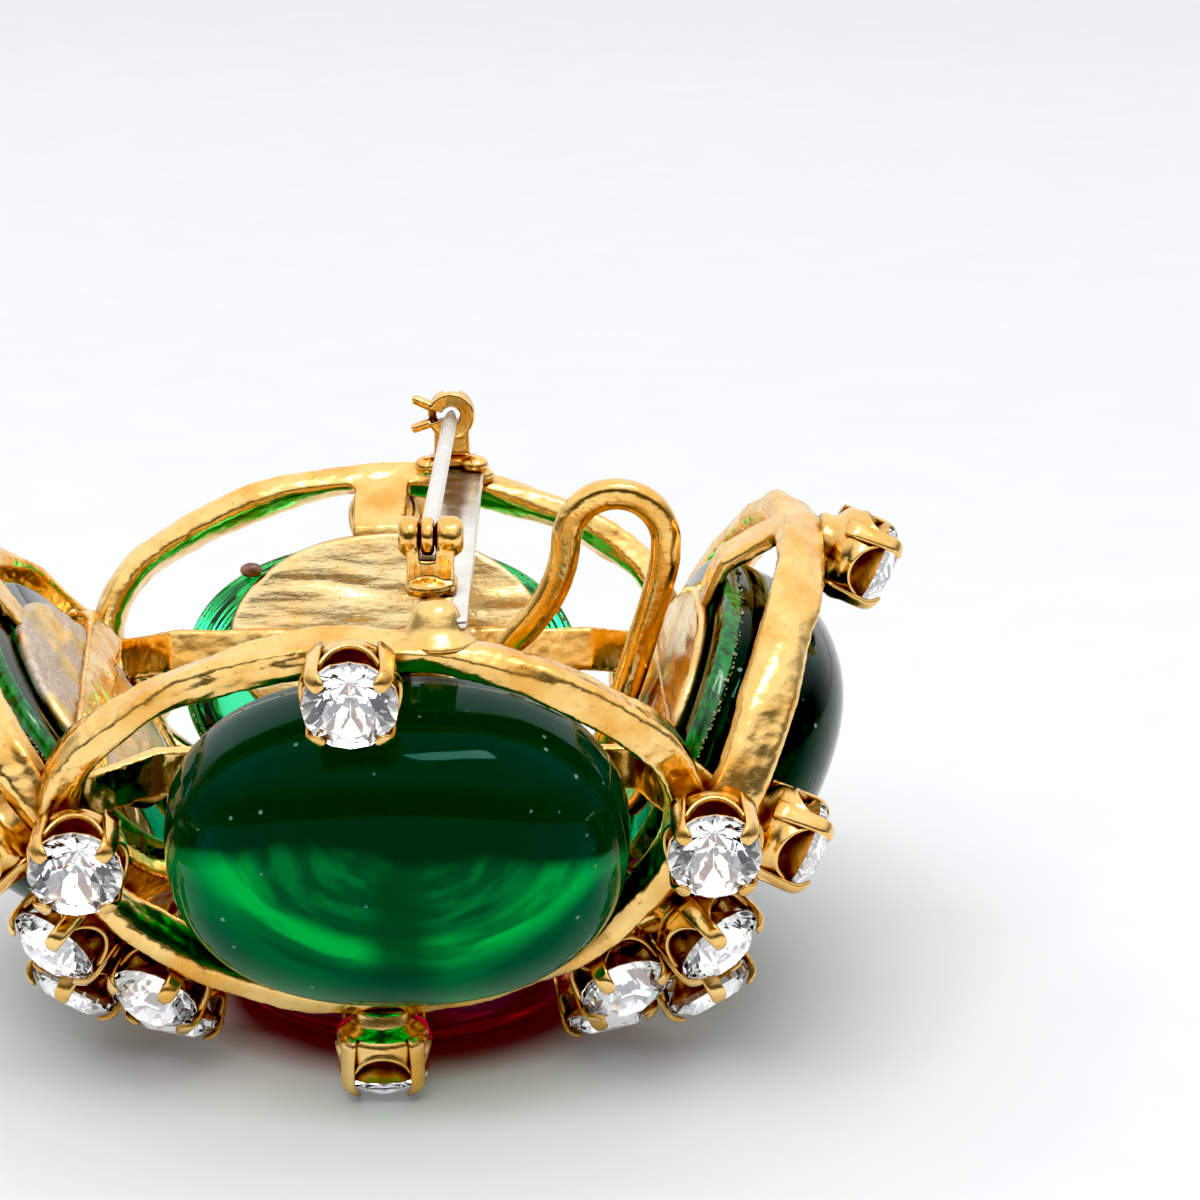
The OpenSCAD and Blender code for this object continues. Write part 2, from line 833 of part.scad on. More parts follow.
module stone_front_right_2() cluster_stone(1, 1, -1);
module stone_front_right_3() cluster_stone(2, 1, -1);
module stone_front_right_4() cluster_stone(3, 1, -1);
module stone_back_right_1() cluster_stone(0, 1, 1);
module stone_back_right_2() cluster_stone(1, 1, 1);
module stone_back_right_3() cluster_stone(2, 1, 1);
module stone_back_right_4() cluster_stone(3, 1, 1);
module stone_back_left_1() cluster_stone(0, -1, 1);
module stone_back_left_2() cluster_stone(1, -1, 1);
module stone_back_left_3() cluster_stone(2, -1, 1);
module stone_back_left_4() cluster_stone(3, -1, 1);

frame_front();
frame_right();
frame_back();
frame_left();
centre_mount();
cluster_front_left();
cluster_front_right();
cluster_back_right();
cluster_back_left();
hook();
pin_bar();
pin_stem();
catch_collar();
cabochon_front();
cabochon_right();
cabochon_back();
cabochon_left();
cabochon_centre();
stone_front_tip();
stone_front_end_a();
stone_front_end_b();
stone_front_base();
stone_right_tip();
stone_right_end_a();
stone_right_end_b();
stone_right_base();
stone_back_tip();
stone_back_end_a();
stone_back_end_b();
stone_back_base();
stone_left_tip();
stone_left_end_a();
stone_left_end_b();
stone_left_base();
stone_front_left_1();
stone_front_left_2();
stone_front_left_3();
stone_front_left_4();
stone_front_right_1();
stone_front_right_2();
stone_front_right_3();
stone_front_right_4();
stone_back_right_1();
stone_back_right_2();
stone_back_right_3();
stone_back_right_4();
stone_back_left_1();
stone_back_left_2();
stone_back_left_3();
stone_back_left_4();
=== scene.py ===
# %% [markdown]
# # A domed pendant brooch, lying face down
# Four open oval petals of gold-coloured metal stand round a red glass centre. Each
# petal carries a large green glass cabochon and four clear cut stones, four more
# stones hide under every corner, and a hook, a flat bar and a hinged pin close the
# back. The solid model gives every place and size. This lesson dresses it: softer
# cast metal, rounded settings, foiled stones and coloured glass.

# %% Load the solid model and keep its box
from collections import namedtuple
from math import acos, atan2, copysign, cos, degrees, pi, radians, sin, sqrt

import bmesh
import bpy
import numpy as np
from mathutils import Matrix, Vector, noise


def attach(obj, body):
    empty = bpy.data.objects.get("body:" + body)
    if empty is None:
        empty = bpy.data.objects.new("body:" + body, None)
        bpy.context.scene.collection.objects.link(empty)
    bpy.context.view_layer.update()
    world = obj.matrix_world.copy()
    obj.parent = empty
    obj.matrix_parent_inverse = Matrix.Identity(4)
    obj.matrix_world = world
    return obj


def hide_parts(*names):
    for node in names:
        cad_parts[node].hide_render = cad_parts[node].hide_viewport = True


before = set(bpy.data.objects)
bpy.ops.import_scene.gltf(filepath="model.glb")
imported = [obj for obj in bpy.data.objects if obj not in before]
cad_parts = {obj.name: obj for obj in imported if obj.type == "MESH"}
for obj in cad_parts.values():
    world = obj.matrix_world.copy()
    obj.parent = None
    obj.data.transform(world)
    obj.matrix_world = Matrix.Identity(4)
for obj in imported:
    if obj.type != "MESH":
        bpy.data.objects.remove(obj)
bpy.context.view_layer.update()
MM = 0.001
print("nodes in the solid model:", len(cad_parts))

# %% [markdown]
# ## Sizes that the pieces share
# The dressed pieces have to stand where the solids stand, so the numbers of the
# solid model come back here: one row for each petal, with its turn, its lean, the
# half widths of its hoop and the places of what it carries. A petal's own frame has
# X along the petal, Y up its plane and Z outward, in millimetres.

# %% Petal sizes
Petal = namedtuple(
    "Petal",
    "turn out side lean half up low mid glass "
    "g_w g_q g_a g_b plate_w plate_q cross_q upright_q stones base",
)
PETALS = {
    "front": Petal(-90, 21.5, 0.0, 13.4, 21.4, 13.0, 14.9, 0.0, -3.6,
                   1.6, -2.15, 15.9, 11.5, 1.6, 0.5, 0.8, 0.6,
                   ((-1.05, 12.5), (-19.6, -0.4), (22.85, 0.5)), (17.95, 0.3)),
    "right": Petal(0, 23.85, -0.5, 24.3, 21.4, 15.7, 13.6, 0.0, -3.3,
                   0.0, -0.8, 15.9, 11.5, 0.0, -0.4, 0.0, 0.0,
                   ((0.0, 15.3), (-19.5, -0.5), (20.5, 0.0)), (19.4, 0.12)),
    "back": Petal(90, 21.5, 0.0, 25.0, 22.3, 13.0, 14.8, -0.85, -4.3,
                  0.5, -3.9, 15.5, 10.5, 0.05, -1.5, -2.4, 0.6,
                  ((0.0, 9.9), (-20.9, -3.6), (20.9, -3.6)), (18.1, -0.6)),
    "left": Petal(184, 23.2, -1.6, 38.0, 21.4, 13.6, 14.0, 0.0, -1.9,
                  0.0, -0.8, 15.9, 11.5, 0.0, -0.4, 0.0, 0.0,
                  ((0.0, 14.6), (-20.5, 0.0), (19.8, 1.0)), (17.6, -1.6)),
}
SHIFT = Vector((0.877, -0.614, 0.0))
JUNCTION_H = 22.1                             # height of the petals' frames over the table
BAND_W, BAND_D, BAND_POWER = 2.1, 3.1, 2.6    # bar of the hoops, and how square it is
END_R = 8.35                                  # round ends of the hoops
PLATE_A, PLATE_B, PLATE_T = 12.3, 8.45, 0.9   # half sizes of the plates, and their thickness
PLATE_GAP = 0.1                               # between a plate and its glass
STRAP_H, UPRIGHT_W = 3.4, 4.2                 # widths of the straps
CAB_H, GLASS_POWER = 12.3, 2.3                # height of the green glass; how full its outline is
STONE_TOP, BASE_LIFT = 6.1, 0.6               # height of a set stone; lift of the base settings


def turned(axis, angle):
    return Matrix.Rotation(radians(angle), 4, axis)


def petal_frame(p):
    """Petal's own frame to the row frame, both in millimetres."""
    return (Matrix.Translation(SHIFT) @ turned("Z", p.turn)
            @ Matrix.Translation((p.out, p.side, JUNCTION_H))
            @ turned("Y", p.lean) @ turned("Z", 90) @ turned("X", 90))


for name, p in PETALS.items():
    middle = petal_frame(p) @ Vector((0, 0, 0))
    print(name, "petal stands at", [round(v, 1) for v in middle])

# %% [markdown]
# ## From rings of points to a mesh
# Most pieces here are sweeps or lofts: the same outline again and again along a
# path. One helper joins equal rings of points with quads, closed or capped, and a
# second one puts such lists together. All shapes are drawn in millimetres, because
# Blender's remesher dislikes tiny numbers, and made metres at the very end.


# %% Helpers for shapes
def skin(rings, wrap=False):
    """Quads through rings of equal count; wrap joins the last ring to the first."""
    rings = [np.asarray(r, float) for r in rings]
    n, m = len(rings[0]), len(rings)
    verts = np.concatenate(rings)
    faces = []
    for j in range(m if wrap else m - 1):
        k = (j + 1) % m
        for i in range(n):
            i2 = (i + 1) % n
            faces.append((j * n + i, j * n + i2, k * n + i2, k * n + i))
    if not wrap:
        faces.append(tuple(range(n - 1, -1, -1)))
        faces.append(tuple((m - 1) * n + i for i in range(n)))
    return verts, faces


def joined(shapes):
    """One list of points and faces from several."""
    verts, faces, start = [], [], 0
    for v, f in shapes:
        verts.append(np.asarray(v, float))
        faces += [tuple(start + i for i in face) for face in f]
        start += len(v)
    return np.concatenate(verts), faces


def moved(shape, matrix):
    verts, faces = shape
    rows = np.array(matrix)
    return np.asarray(verts) @ rows[:3, :3].T + rows[:3, 3], faces


def new_mesh(name, shape):
    mesh = bpy.data.meshes.new(name)
    mesh.from_pydata([tuple(v) for v in shape[0]], [], shape[1])
    mesh.update()
    return mesh


def outward(mesh):
    """Turns every face of closed shells outward."""
    b = bmesh.new()
    b.from_mesh(mesh)
    bmesh.ops.recalc_face_normals(b, faces=b.faces)
    b.to_mesh(mesh)
    b.free()


def shell(name, shapes):
    """A mesh of closed shapes, with every face turned outward."""
    mesh = new_mesh(name, joined(shapes))
    outward(mesh)
    return mesh


def around(count):
    """Angles of a full circle, evenly spaced."""
    return [2 * pi * k / count for k in range(count)]


def lathe(line, count, x=0.0, y=0.0):
    """Turns a line of radii and heights about an upright axis."""
    return skin([[(x + r * cos(t), y + r * sin(t), z) for t in around(count)]
                 for r, z in line])


def rounded(width, depth, power, count=20):
    """Section of a soft rectangular bar, as points across and deep."""
    out = []
    for k in range(count):
        t = 2 * pi * (k + 0.5) / count
        c, s = cos(t), sin(t)
        out.append((0.5 * width * copysign(abs(c) ** (2 / power), c),
                    0.5 * depth * copysign(abs(s) ** (2 / power), s)))
    return out


print("a band section has", len(rounded(BAND_W, BAND_D, BAND_POWER)), "points")


# %% Helpers that finish a piece
def baked(obj):
    """The object's mesh with its modifiers applied, and the modifiers gone."""
    graph = bpy.context.evaluated_depsgraph_get()
    mesh = bpy.data.meshes.new_from_object(obj.evaluated_get(graph))
    old = obj.data
    obj.modifiers.clear()
    obj.data = mesh
    bpy.data.meshes.remove(old)
    return obj


def placed(name, mesh):
    obj = bpy.data.objects.new(name, mesh)
    bpy.context.scene.collection.objects.link(obj)
    return obj


def solid(name, shapes):
    return placed(name, shell(name, shapes))


def finished(obj, materials, slot, body="brooch", stands_for=(), smooth=True, kinds=()):
    """Metres, materials, smooth faces, and a body to ride on. kinds: each face's material."""
    obj.data.transform(Matrix.Scale(MM, 4))
    obj.data.materials.clear()
    for m in materials:
        obj.data.materials.append(m)
    for face in obj.data.polygons:
        face.use_smooth = smooth
    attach(obj, body)
    if stands_for:
        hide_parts(*stands_for)
    for face, kind in zip(obj.data.polygons, kinds):
        face.material_index = kind
    count = sum(len(f.vertices) - 2 for f in obj.data.polygons)
    print(f"{obj.name}: {count} triangles")
    return obj


# %% [markdown]
# ## Gold that has aged
# The metal is cast, with a warm gold plating. It is polished where hands reach, with a
# painted shade of brown in every corner, and the whole skin has small pits and file
# marks. A metallic shader carries the colour. Ambient Occlusion finds the corners for
# the painted shade, and noise on object coordinates gives brown pits, cloudy roughness
# and marks that run along a plate.


# %% Helpers for materials
def add(tree, kind, inputs=(), **settings):
    """A node with its settings; inputs take plain values or other nodes' outputs."""
    node = tree.nodes.new(kind)
    for key, value in settings.items():
        setattr(node, key, value)
    for key, value in dict(inputs).items():
        if isinstance(value, bpy.types.NodeSocket):
            tree.links.new(value, node.inputs[key])
        else:
            node.inputs[key].default_value = value
    return node


def blank(name):
    """An empty material, its tree, and the object coordinates in it."""
    material = bpy.data.materials.new(name)
    material.use_nodes = True
    tree = material.node_tree
    tree.nodes.clear()
    return material, tree, add(tree, "ShaderNodeTexCoord").outputs["Object"]


def remap(tree, value, low, high, to_low=0.0, to_high=1.0):
    return add(tree, "ShaderNodeMapRange",
               {"Value": value, "From Min": low, "From Max": high,
                "To Min": to_low, "To Max": to_high}).outputs["Result"]


def math_node(tree, operation, a, b=0.0):
    return add(tree, "ShaderNodeMath", {0: a, 1: b}, operation=operation).outputs[0]


def times(tree, a, b):
    return math_node(tree, "MULTIPLY", a, b)


def away(tree, value, middle):
    """How far a value is from a middle one."""
    return math_node(tree, "ABSOLUTE", math_node(tree, "SUBTRACT", value, middle))


def vector_node(tree, operation, inputs):
    return add(tree, "ShaderNodeVectorMath", inputs, operation=operation).outputs


def mixed(tree, factor, a, b):
    return add(tree, "ShaderNodeMix", {0: factor, 6: a, 7: b}, data_type="RGBA").outputs[2]


def noise_at(tree, where, scale, detail=2.0, roughness=0.5):
    node = add(tree, "ShaderNodeTexNoise", {"Vector": where, "Scale": scale,
                                            "Detail": detail, "Roughness": roughness})
    return node.outputs["Fac"]


def streaks(tree, where, scale, stretch):
    """Noise drawn out along one axis: big stretch numbers are the short ways."""
    mapping = add(tree, "ShaderNodeMapping", {"Vector": where, "Scale": stretch})
    return noise_at(tree, mapping.outputs[0], scale, 4.0)


def bump(tree, height, depth, strength=1.0, **below):
    node = add(tree, "ShaderNodeBump",
               {"Height": height, "Distance": depth, "Strength": strength, **below})
    return node.outputs[0]


def principled(tree, inputs):
    return add(tree, "ShaderNodeBsdfPrincipled", inputs).outputs[0]


def output(tree, **sockets):
    add(tree, "ShaderNodeOutputMaterial", sockets)


# %% Aged gold
BRIGHT = (1.0, 0.68, 0.26, 1)
DEEP = (0.88, 0.46, 0.11, 1)
# Painted shade: the brown that corners get, which is also the colour of the pits.
SHADE_AND_PIT_BROWN = (0.30, 0.11, 0.02, 1)
PATINA_GRAIN = (0.62, 0.50, 0.42, 1)
CORNER_SHADE_REACH = 0.0016                # how near a wall makes a corner, in metres


def aged_gold(name, bright, deep, shade_and_pit_brown=SHADE_AND_PIT_BROWN, rough=(0.10, 0.30), marks=None,
              marks_depth=0.00006, pits_depth=0.00003, patina=None):
    """Plated cast metal with painted shade in its corners. marks gives the stretch of the file
    marks.
    """
    material, tree, where = blank(name)
    cloud = noise_at(tree, where, 260.0, 5.0, 0.6)
    pits = noise_at(tree, where, 2600.0, 4.0, 0.65)
    soft = noise_at(tree, where, 900.0)
    # Ambient Occlusion finds the corners that get painted shade.
    corner = add(tree, "ShaderNodeAmbientOcclusion", {"Distance": CORNER_SHADE_REACH},
                 samples=6).outputs["AO"]
    worn = mixed(tree, remap(tree, cloud, 0.42, 0.66), bright, deep)
    # Painted shade: brown where Ambient Occlusion finds a corner.
    colour = mixed(tree, remap(tree, corner, 0.35, 0.92), shade_and_pit_brown, worn)
    colour = mixed(tree, remap(tree, pits, 0.62, 0.72, 0.0, 0.55), colour, shade_and_pit_brown)
    dull = remap(tree, cloud, 0.3, 0.7, *rough)
    if patina:
        crust = remap(tree, noise_at(tree, where, 240.0, 9.0), 0.44, 0.56)
        grain = mixed(tree, remap(tree, pits, 0.40, 0.60), patina, PATINA_GRAIN)
        colour = mixed(tree, crust, colour, grain)
        dull = math_node(tree, "ADD", dull, times(tree, crust, 0.25))
    dull = math_node(tree, "ADD", dull, remap(tree, corner, 0.2, 0.9, 0.22, 0.0))
    height = bump(tree, pits, pits_depth, 0.7)
    height = bump(tree, soft, 0.00012, 0.35, Normal=height)
    if marks:
        height = bump(tree, streaks(tree, where, 500.0, marks), marks_depth, Normal=height)
    output(tree, Surface=principled(tree, {"Base Color": colour, "Metallic": 1.0,
                                           "Roughness": dull, "Normal": height}))
    return material


gold_cast = aged_gold("gold_cast", BRIGHT, DEEP)
gold_wire = aged_gold("gold_wire", (0.98, 0.63, 0.22, 1), (0.84, 0.43, 0.09, 1),
                      rough=(0.07, 0.20), pits_depth=0.00002)
# The third colour is the painted shade in the corners and the colour of the pits.
gold_setting = aged_gold("gold_setting", (0.98, 0.66, 0.26, 1), (0.84, 0.45, 0.11, 1),
                         (0.25, 0.09, 0.015, 1), rough=(0.08, 0.24), pits_depth=0.00002)
print("gold finishes:", gold_cast.name, gold_wire.name, gold_setting.name)

# %% [markdown]
# ### Plates, patina and the silvery parts
# The oval plates keep the marks of their sheet: ridges that run along the petal, so
# a plate of a front or back petal has them along X and one of a side petal along Y.
# The left plate has lost its gloss under a mottled crust of grey and pink. The bar
# and the stem of the pin are a pale nickel, brighter than the rest.

# %% Plate and pin finishes
ALONG_X = (0.5, 1.0, 2.4)
ALONG_Y = (1.0, 0.5, 2.4)
gold_plate_x = aged_gold("gold_plate_x", (1.0, 0.78, 0.42, 1), (0.95, 0.62, 0.24, 1),
                         rough=(0.12, 0.26), marks=ALONG_X, marks_depth=0.00010)
gold_plate_y = aged_gold("gold_plate_y", (1.0, 0.74, 0.36, 1), (0.92, 0.56, 0.20, 1),
                         rough=(0.14, 0.30), marks=ALONG_Y, marks_depth=0.00009)
gold_patina = aged_gold("gold_patina", (0.92, 0.67, 0.36, 1), (0.72, 0.55, 0.22, 1),
                        rough=(0.26, 0.5), marks=ALONG_Y, patina=(0.80, 0.70, 0.62, 1))
# The third colour is the painted shade in the corners and the colour of the pits.
pale_metal = aged_gold("pale_metal", (0.93, 0.90, 0.84, 1), (0.84, 0.79, 0.70, 1),
                       (0.36, 0.27, 0.18, 1), rough=(0.16, 0.34), marks=(1.0, 0.2, 1.0),
                       marks_depth=0.00002)
print("plates and pin:", gold_plate_x.name, gold_patina.name, pale_metal.name)


# %% [markdown]
# ## Coloured glass, foil and crystal
# The cabochons are solid glass, more than ten millimetres thick. Colour comes from
# absorption inside the glass, not from paint on its skin, except at the back of the
# front glass, so thin rims glow and the deep middle goes nearly black, as in the
# photograph. Absorption takes a plain colour and density. Dust is a few pale specks
# on the skin. The back of the front glass is an opaque sheet of painted light and
# shade, which gives what shows in its depth: a painted dark shade at the top with a
# ragged lower edge, a glowing green foot with arcs and a bright ring, and the painted
# shadow of a post. The clear stones are glass over a mirror foil with a bronze
# lacquer behind it, which is what makes them sparkle and shows brown from the side;
# the silver foil also glows a little, as painted light.


# %% Glass finishes
# Where the painted light and shade lie on the back of the front glass.
BACK_X, BACK_Z = (-0.0134, 0.0184), (0.0085, 0.0318)   # ends, foot and top of the front glass
EDGE_Z = (0.0180, 0.0190)                              # between its dark top and its lit foot
GLOW_RING_AT = 0.66                                         # radius of the bright ring, rim is 1
POST_SHADOW_X = 0.0025                                        # middle of the post's shadow


def back_with_painted_light(tree, where, wave):
    """Painted light and shade that the back sheet sends through the front glass."""
    parts = add(tree, "ShaderNodeSeparateXYZ", {0: where}).outputs
    ragged = math_node(tree, "ADD", remap(tree, wave, 0.3, 0.7, -0.0009, 0.0009), parts["Z"])
    glow_foot_mask = remap(tree, ragged, *EDGE_Z, 1.0, 0.0)
    across = remap(tree, parts["X"], *BACK_X, -1.0, 1.0)
    upward = remap(tree, parts["Z"], *BACK_Z, -1.0, 1.0)
    spoke = add(tree, "ShaderNodeCombineXYZ", {"X": across, "Y": upward}).outputs[0]
    out = vector_node(tree, "LENGTH", {0: spoke})["Value"]
    turn = math_node(tree, "ARCTAN2", upward, across)
    curl = add(tree, "ShaderNodeCombineXYZ", {"X": times(tree, out, 9.0), "Y": turn})
    arcs = noise_at(tree, curl.outputs[0], 1.3, 4.0)
    ring = times(tree, remap(tree, away(tree, out, GLOW_RING_AT), 0.02, 0.10, 1.0, 0.0),
                 remap(tree, arcs, 0.38, 0.52, 0.25, 1.0))
    edge = remap(tree, out, 0.72, 0.84, 0.0, 0.75)
    post_shadow = remap(tree, away(tree, parts["X"], POST_SHADOW_X), 0.0010, 0.0030, 0.88, 0.0)
    # Painted shade: the top, darker towards its upper edge.
    top = mixed(tree, remap(tree, upward, 0.1, 0.8), (0.06, 0.036, 0.060, 1),
                (0.02, 0.018, 0.022, 1))
    # Painted glow of the foot, painted light in arcs, a bright ring and an edge, and the painted
    # shadow of the post.
    painted_back_glow = mixed(tree, glow_foot_mask, top, (0.05, 0.12, 0.10, 1))
    for part, colour in ((remap(tree, arcs, 0.46, 0.60), (0.05, 0.29, 0.15, 1)),
                         (ring, (0.10, 0.80, 0.24, 1)), (edge, (0.03, 0.10, 0.08, 1)),
                         (post_shadow, (0.03, 0.075, 0.07, 1))):
        painted_back_glow = mixed(tree, times(tree, part, glow_foot_mask), painted_back_glow, colour)
    # An opaque dark sheet whose emission is the painted light.
    return principled(tree, {"Base Color": (0.0, 0.035, 0.02, 1), "Roughness": 0.35,
                             "Emission Color": painted_back_glow, "Emission Strength": 1.0})


def coloured_glass(name, tint, absorbed, density, rough=0.015, ripple=0.00002,
                   shine=(1, 1, 1, 1), dust=0.0, paint_light_behind=False, index=1.52):
    """Solid glass, or the back of it as a sheet of painted light and shade."""
    material, tree, where = blank(name)
    wave = noise_at(tree, where, 120.0, 3.0)
    if paint_light_behind:
        surface = back_with_painted_light(tree, where, wave)
    else:
        surface = principled(tree, {
            "Base Color": tint, "Roughness": rough, "IOR": index, "Specular Tint": shine,
            "Transmission Weight": 1.0, "Normal": bump(tree, wave, ripple)})
    if dust:
        grain = add(tree, "ShaderNodeTexVoronoi", {"Vector": where, "Scale": 420.0})
        speck = remap(tree, grain.outputs["Distance"], 0.05, 0.09, dust, 0.0)
        powder = add(tree, "ShaderNodeBsdfDiffuse", {"Color": (0.30, 0.45, 0.38, 1)})
        surface = add(tree, "ShaderNodeMixShader",
                      {0: speck, 1: surface, 2: powder.outputs[0]}).outputs[0]
    inside = add(tree, "ShaderNodeVolumeAbsorption", {"Color": absorbed, "Density": density})
    output(tree, Surface=surface, Volume=inside.outputs[0])
    return material


def glossy_skin(name, low, high, scale, rough, metallic=0.0, stretch=(1, 1, 1), coat=0.0,
                painted_glow=0.0):
    """An opaque skin whose colour goes between two tones, glowing as painted light if painted_glow
    is set.
    """
    material, tree, where = blank(name)
    spots = streaks(tree, where, scale, stretch)
    output(tree, Surface=principled(tree, {
        "Base Color": mixed(tree, remap(tree, spots, 0.38, 0.64), low, high),
        "Roughness": rough, "Metallic": metallic, "Coat Weight": coat,
        "Emission Color": high, "Emission Strength": painted_glow,
        "Normal": bump(tree, spots, 0.0001, 0.8)}))
    return material


SHINE = (0.14, 0.34, 0.26, 1)
TINT = (0.02, 0.80, 0.34, 1)
ABSORBED = (0.02, 0.62, 0.38, 1)
green_glass = coloured_glass("green_glass", TINT, ABSORBED, 120.0, shine=SHINE, dust=0.5,
                             index=1.38, rough=0.03)
# The back of the front glass: a sheet of painted light and shade.
green_painted_light = coloured_glass("green_painted_light", TINT, ABSORBED, 120.0, paint_light_behind=True)
green_deep = coloured_glass("green_deep", (0.02, 0.70, 0.34, 1), ABSORBED, 260.0, shine=SHINE,
                            dust=0.6)
green_clear = coloured_glass("green_clear", (0.10, 0.94, 0.50, 1), (0.05, 0.88, 0.55, 1), 42.0)
red_glass = coloured_glass("red_glass", (0.80, 0.02, 0.26, 1), (0.82, 0.03, 0.40, 1), 60.0)
crystal = coloured_glass("crystal", (1.0, 1.0, 1.0, 1), (0.97, 0.98, 1.0, 1), 1.0,
                         rough=0.0, ripple=0.0)
green_skirt = glossy_skin("green_skirt", (0.0, 0.045, 0.008, 1), (0.0, 0.24, 0.035, 1), 900.0,
                          0.16, stretch=(2.0, 2.0, 0.4), coat=0.4)
glue = glossy_skin("glue", (0.16, 0.10, 0.04, 1), (0.62, 0.55, 0.36, 1), 1800.0, 0.5)
# The silver foil glows a little: painted light that brightens the stones.
foil_silver_painted_glow = glossy_skin("foil_silver_painted_glow", (0.90, 0.91, 0.93, 1), (0.97, 0.97, 0.99, 1), 300.0,
                          0.05, metallic=1.0, painted_glow=0.34)
# The red foil glows a little too: painted light under the red glass.
red_foil_painted_glow = glossy_skin("red_foil_painted_glow", (0.70, 0.16, 0.40, 1), (0.90, 0.24, 0.95, 1), 400.0,
                       0.22, metallic=1.0, painted_glow=0.045)
foil_bronze = glossy_skin("foil_bronze", (0.50, 0.20, 0.03, 1), (0.86, 0.52, 0.16, 1), 700.0,
                          0.22, metallic=0.8)
flux = glossy_skin("flux", (0.10, 0.035, 0.02, 1), (0.32, 0.17, 0.12, 1), 1500.0, 0.35, coat=0.6)
print("glass and foil finishes:", green_glass.name, red_glass.name, crystal.name)


# %% [markdown]
# ## The hoops and what is soldered to them
# A petal's rim is an oval bar, bent by hand, with dents from the hammer. Behind the
# glass a strap crosses from end to end and two short uprights reach the plate. All
# of it is one soldered piece, so the parts are first drawn through each other, then
# remeshed into one skin, and smoothed a little: this gives the soft fillets of
# solder at every joint. The hammer's dents are made by Geometry Nodes, which move
# each point along its normal by two sizes of noise, so that size and depth of the
# dents stay simple numbers.


# %% The oval bar
def oval_path(p, step=0.7):
    """Stations of the four-centre oval: place, and direction away from the arc's centre."""
    a = p.half

    def flat(b):
        r = ((a - END_R) ** 2 + b * b - END_R ** 2) / (2 * (b - END_R))
        return r, degrees(atan2(a - END_R, r - b))

    (up_r, up_half), (low_r, low_half) = flat(p.up), flat(p.low)
    arcs = [(a - END_R, 0, END_R, low_half - 90, 90 - up_half),
            (0, p.up - up_r, up_r, 90 - up_half, 90 + up_half),
            (END_R - a, 0, END_R, 90 + up_half, 270 - low_half),
            (0, low_r - p.low, low_r, 270 - low_half, 270 + low_half)]
    out = []
    for x, y, r, start, end in arcs:
        n = max(6, round(radians(end - start) * r / step))
        for k in range(n):
            t = radians(start + (end - start) * k / n)
            out.append((x + r * cos(t), p.mid + y + r * sin(t), cos(t), sin(t)))
    return out


def bar_ring(p, width, depth, wobble, ridge):
    """The bar swells and thins a little, and soft ridges run along it."""
    rings = []
    path = oval_path(p)
    for k, (x, y, nx, ny) in enumerate(path):
        t = k / len(path) * 2 * pi
        swell = 1 + wobble * (sin(5 * t + p.turn) + 0.6 * sin(11 * t + p.lean))
        ring = []
        for j, (u, v) in enumerate(rounded(width, depth, BAND_POWER)):
            a = 2 * pi * j / 20
            seed = Vector((1.5 * cos(a) + p.turn, 1.5 * sin(a), 2.2 * cos(t) + 1.7 * sin(t)))
            size = swell + ridge * noise.noise(seed)
            ring.append((x + u * size * nx, y + u * size * ny, v * size))
        rings.append(ring)
    return skin(rings, wrap=True)


print("front rim has", len(oval_path(PETALS["front"])), "stations")


# %% Straps and posts
def prism(outline, thick, place):
    """An outline of (a, b) points made a slab of that thickness by place(a, b, c)."""
    low = [place(a, b, -thick / 2) for a, b in outline]
    high = [place(a, b, thick / 2) for a, b in outline]
    return skin([low, high])


def cross_strap(p):
    w, f = p.half - 0.9, p.glass - PLATE_GAP - PLATE_T
    low, high = p.g_w - p.g_a - 0.3, p.g_w + p.g_a + 0.3
    line = [(-w, -0.2), (low, f + 0.5), (high, f + 0.5), (w, -0.2), (w + 0.6, -0.6),
            (w, -1.1), (high + 0.5, f - 0.4), (low - 0.5, f - 0.4), (-w, -1.1), (-w - 0.6, -0.6)]
    return prism(line, STRAP_H, lambda a, b, c: (a, p.cross_q + c, b))


def upright(p, sign):
    reach = p.up if sign > 0 else p.low
    rim, f = p.plate_q + sign * (PLATE_B - 0.6), p.glass - PLATE_GAP
    edge, top = p.g_q + sign * (p.g_b + 0.25), p.mid + sign * (reach - 0.7)
    line = [(rim, f - 0.02), (edge, f - 0.02), (top, -0.4), (top + sign * 0.7, -1.3),
            (edge + sign * 0.6, f - 0.8), (rim - sign, f - 0.8)]
    return prism(line, UPRIGHT_W, lambda a, b, c: (p.upright_q + c, a, b))


def tube(a, b, radius, end_radius=None, count=16):
    """A round bar between two points."""
    a, b = Vector(a), Vector(b)
    turn = (b - a).to_track_quat("Z", "Y").to_matrix().to_4x4()
    rings = []
    for along, r in ((0, radius), (1, end_radius or radius)):
        here = Matrix.Translation(a.lerp(b, along)) @ turn
        rings.append([here @ Vector((r * cos(t), r * sin(t), 0)) for t in around(count)])
    return skin(rings)


def blob(centre, size):
    """A drop of solder: a squashed ball."""
    rings = []
    for f in np.linspace(-86, 86, 9):
        r, z = cos(radians(f)), sin(radians(f))
        rings.append([(centre[0] + size[0] * r * cos(t), centre[1] + size[1] * r * sin(t),
                       centre[2] + size[2] * z) for t in around(16)])
    return skin(rings)


def petal_turn(p):
    """A petal's place round the middle, without its lean."""
    return Matrix.Translation(SHIFT) @ turned("Z", p.turn)


def rim_foot(p):
    """The lowest point of a rim, out from the middle and up from the table."""
    reach, lean = p.low - p.mid, radians(p.lean)
    return Vector((p.out - reach * sin(lean), p.side, JUNCTION_H - reach * cos(lean)))


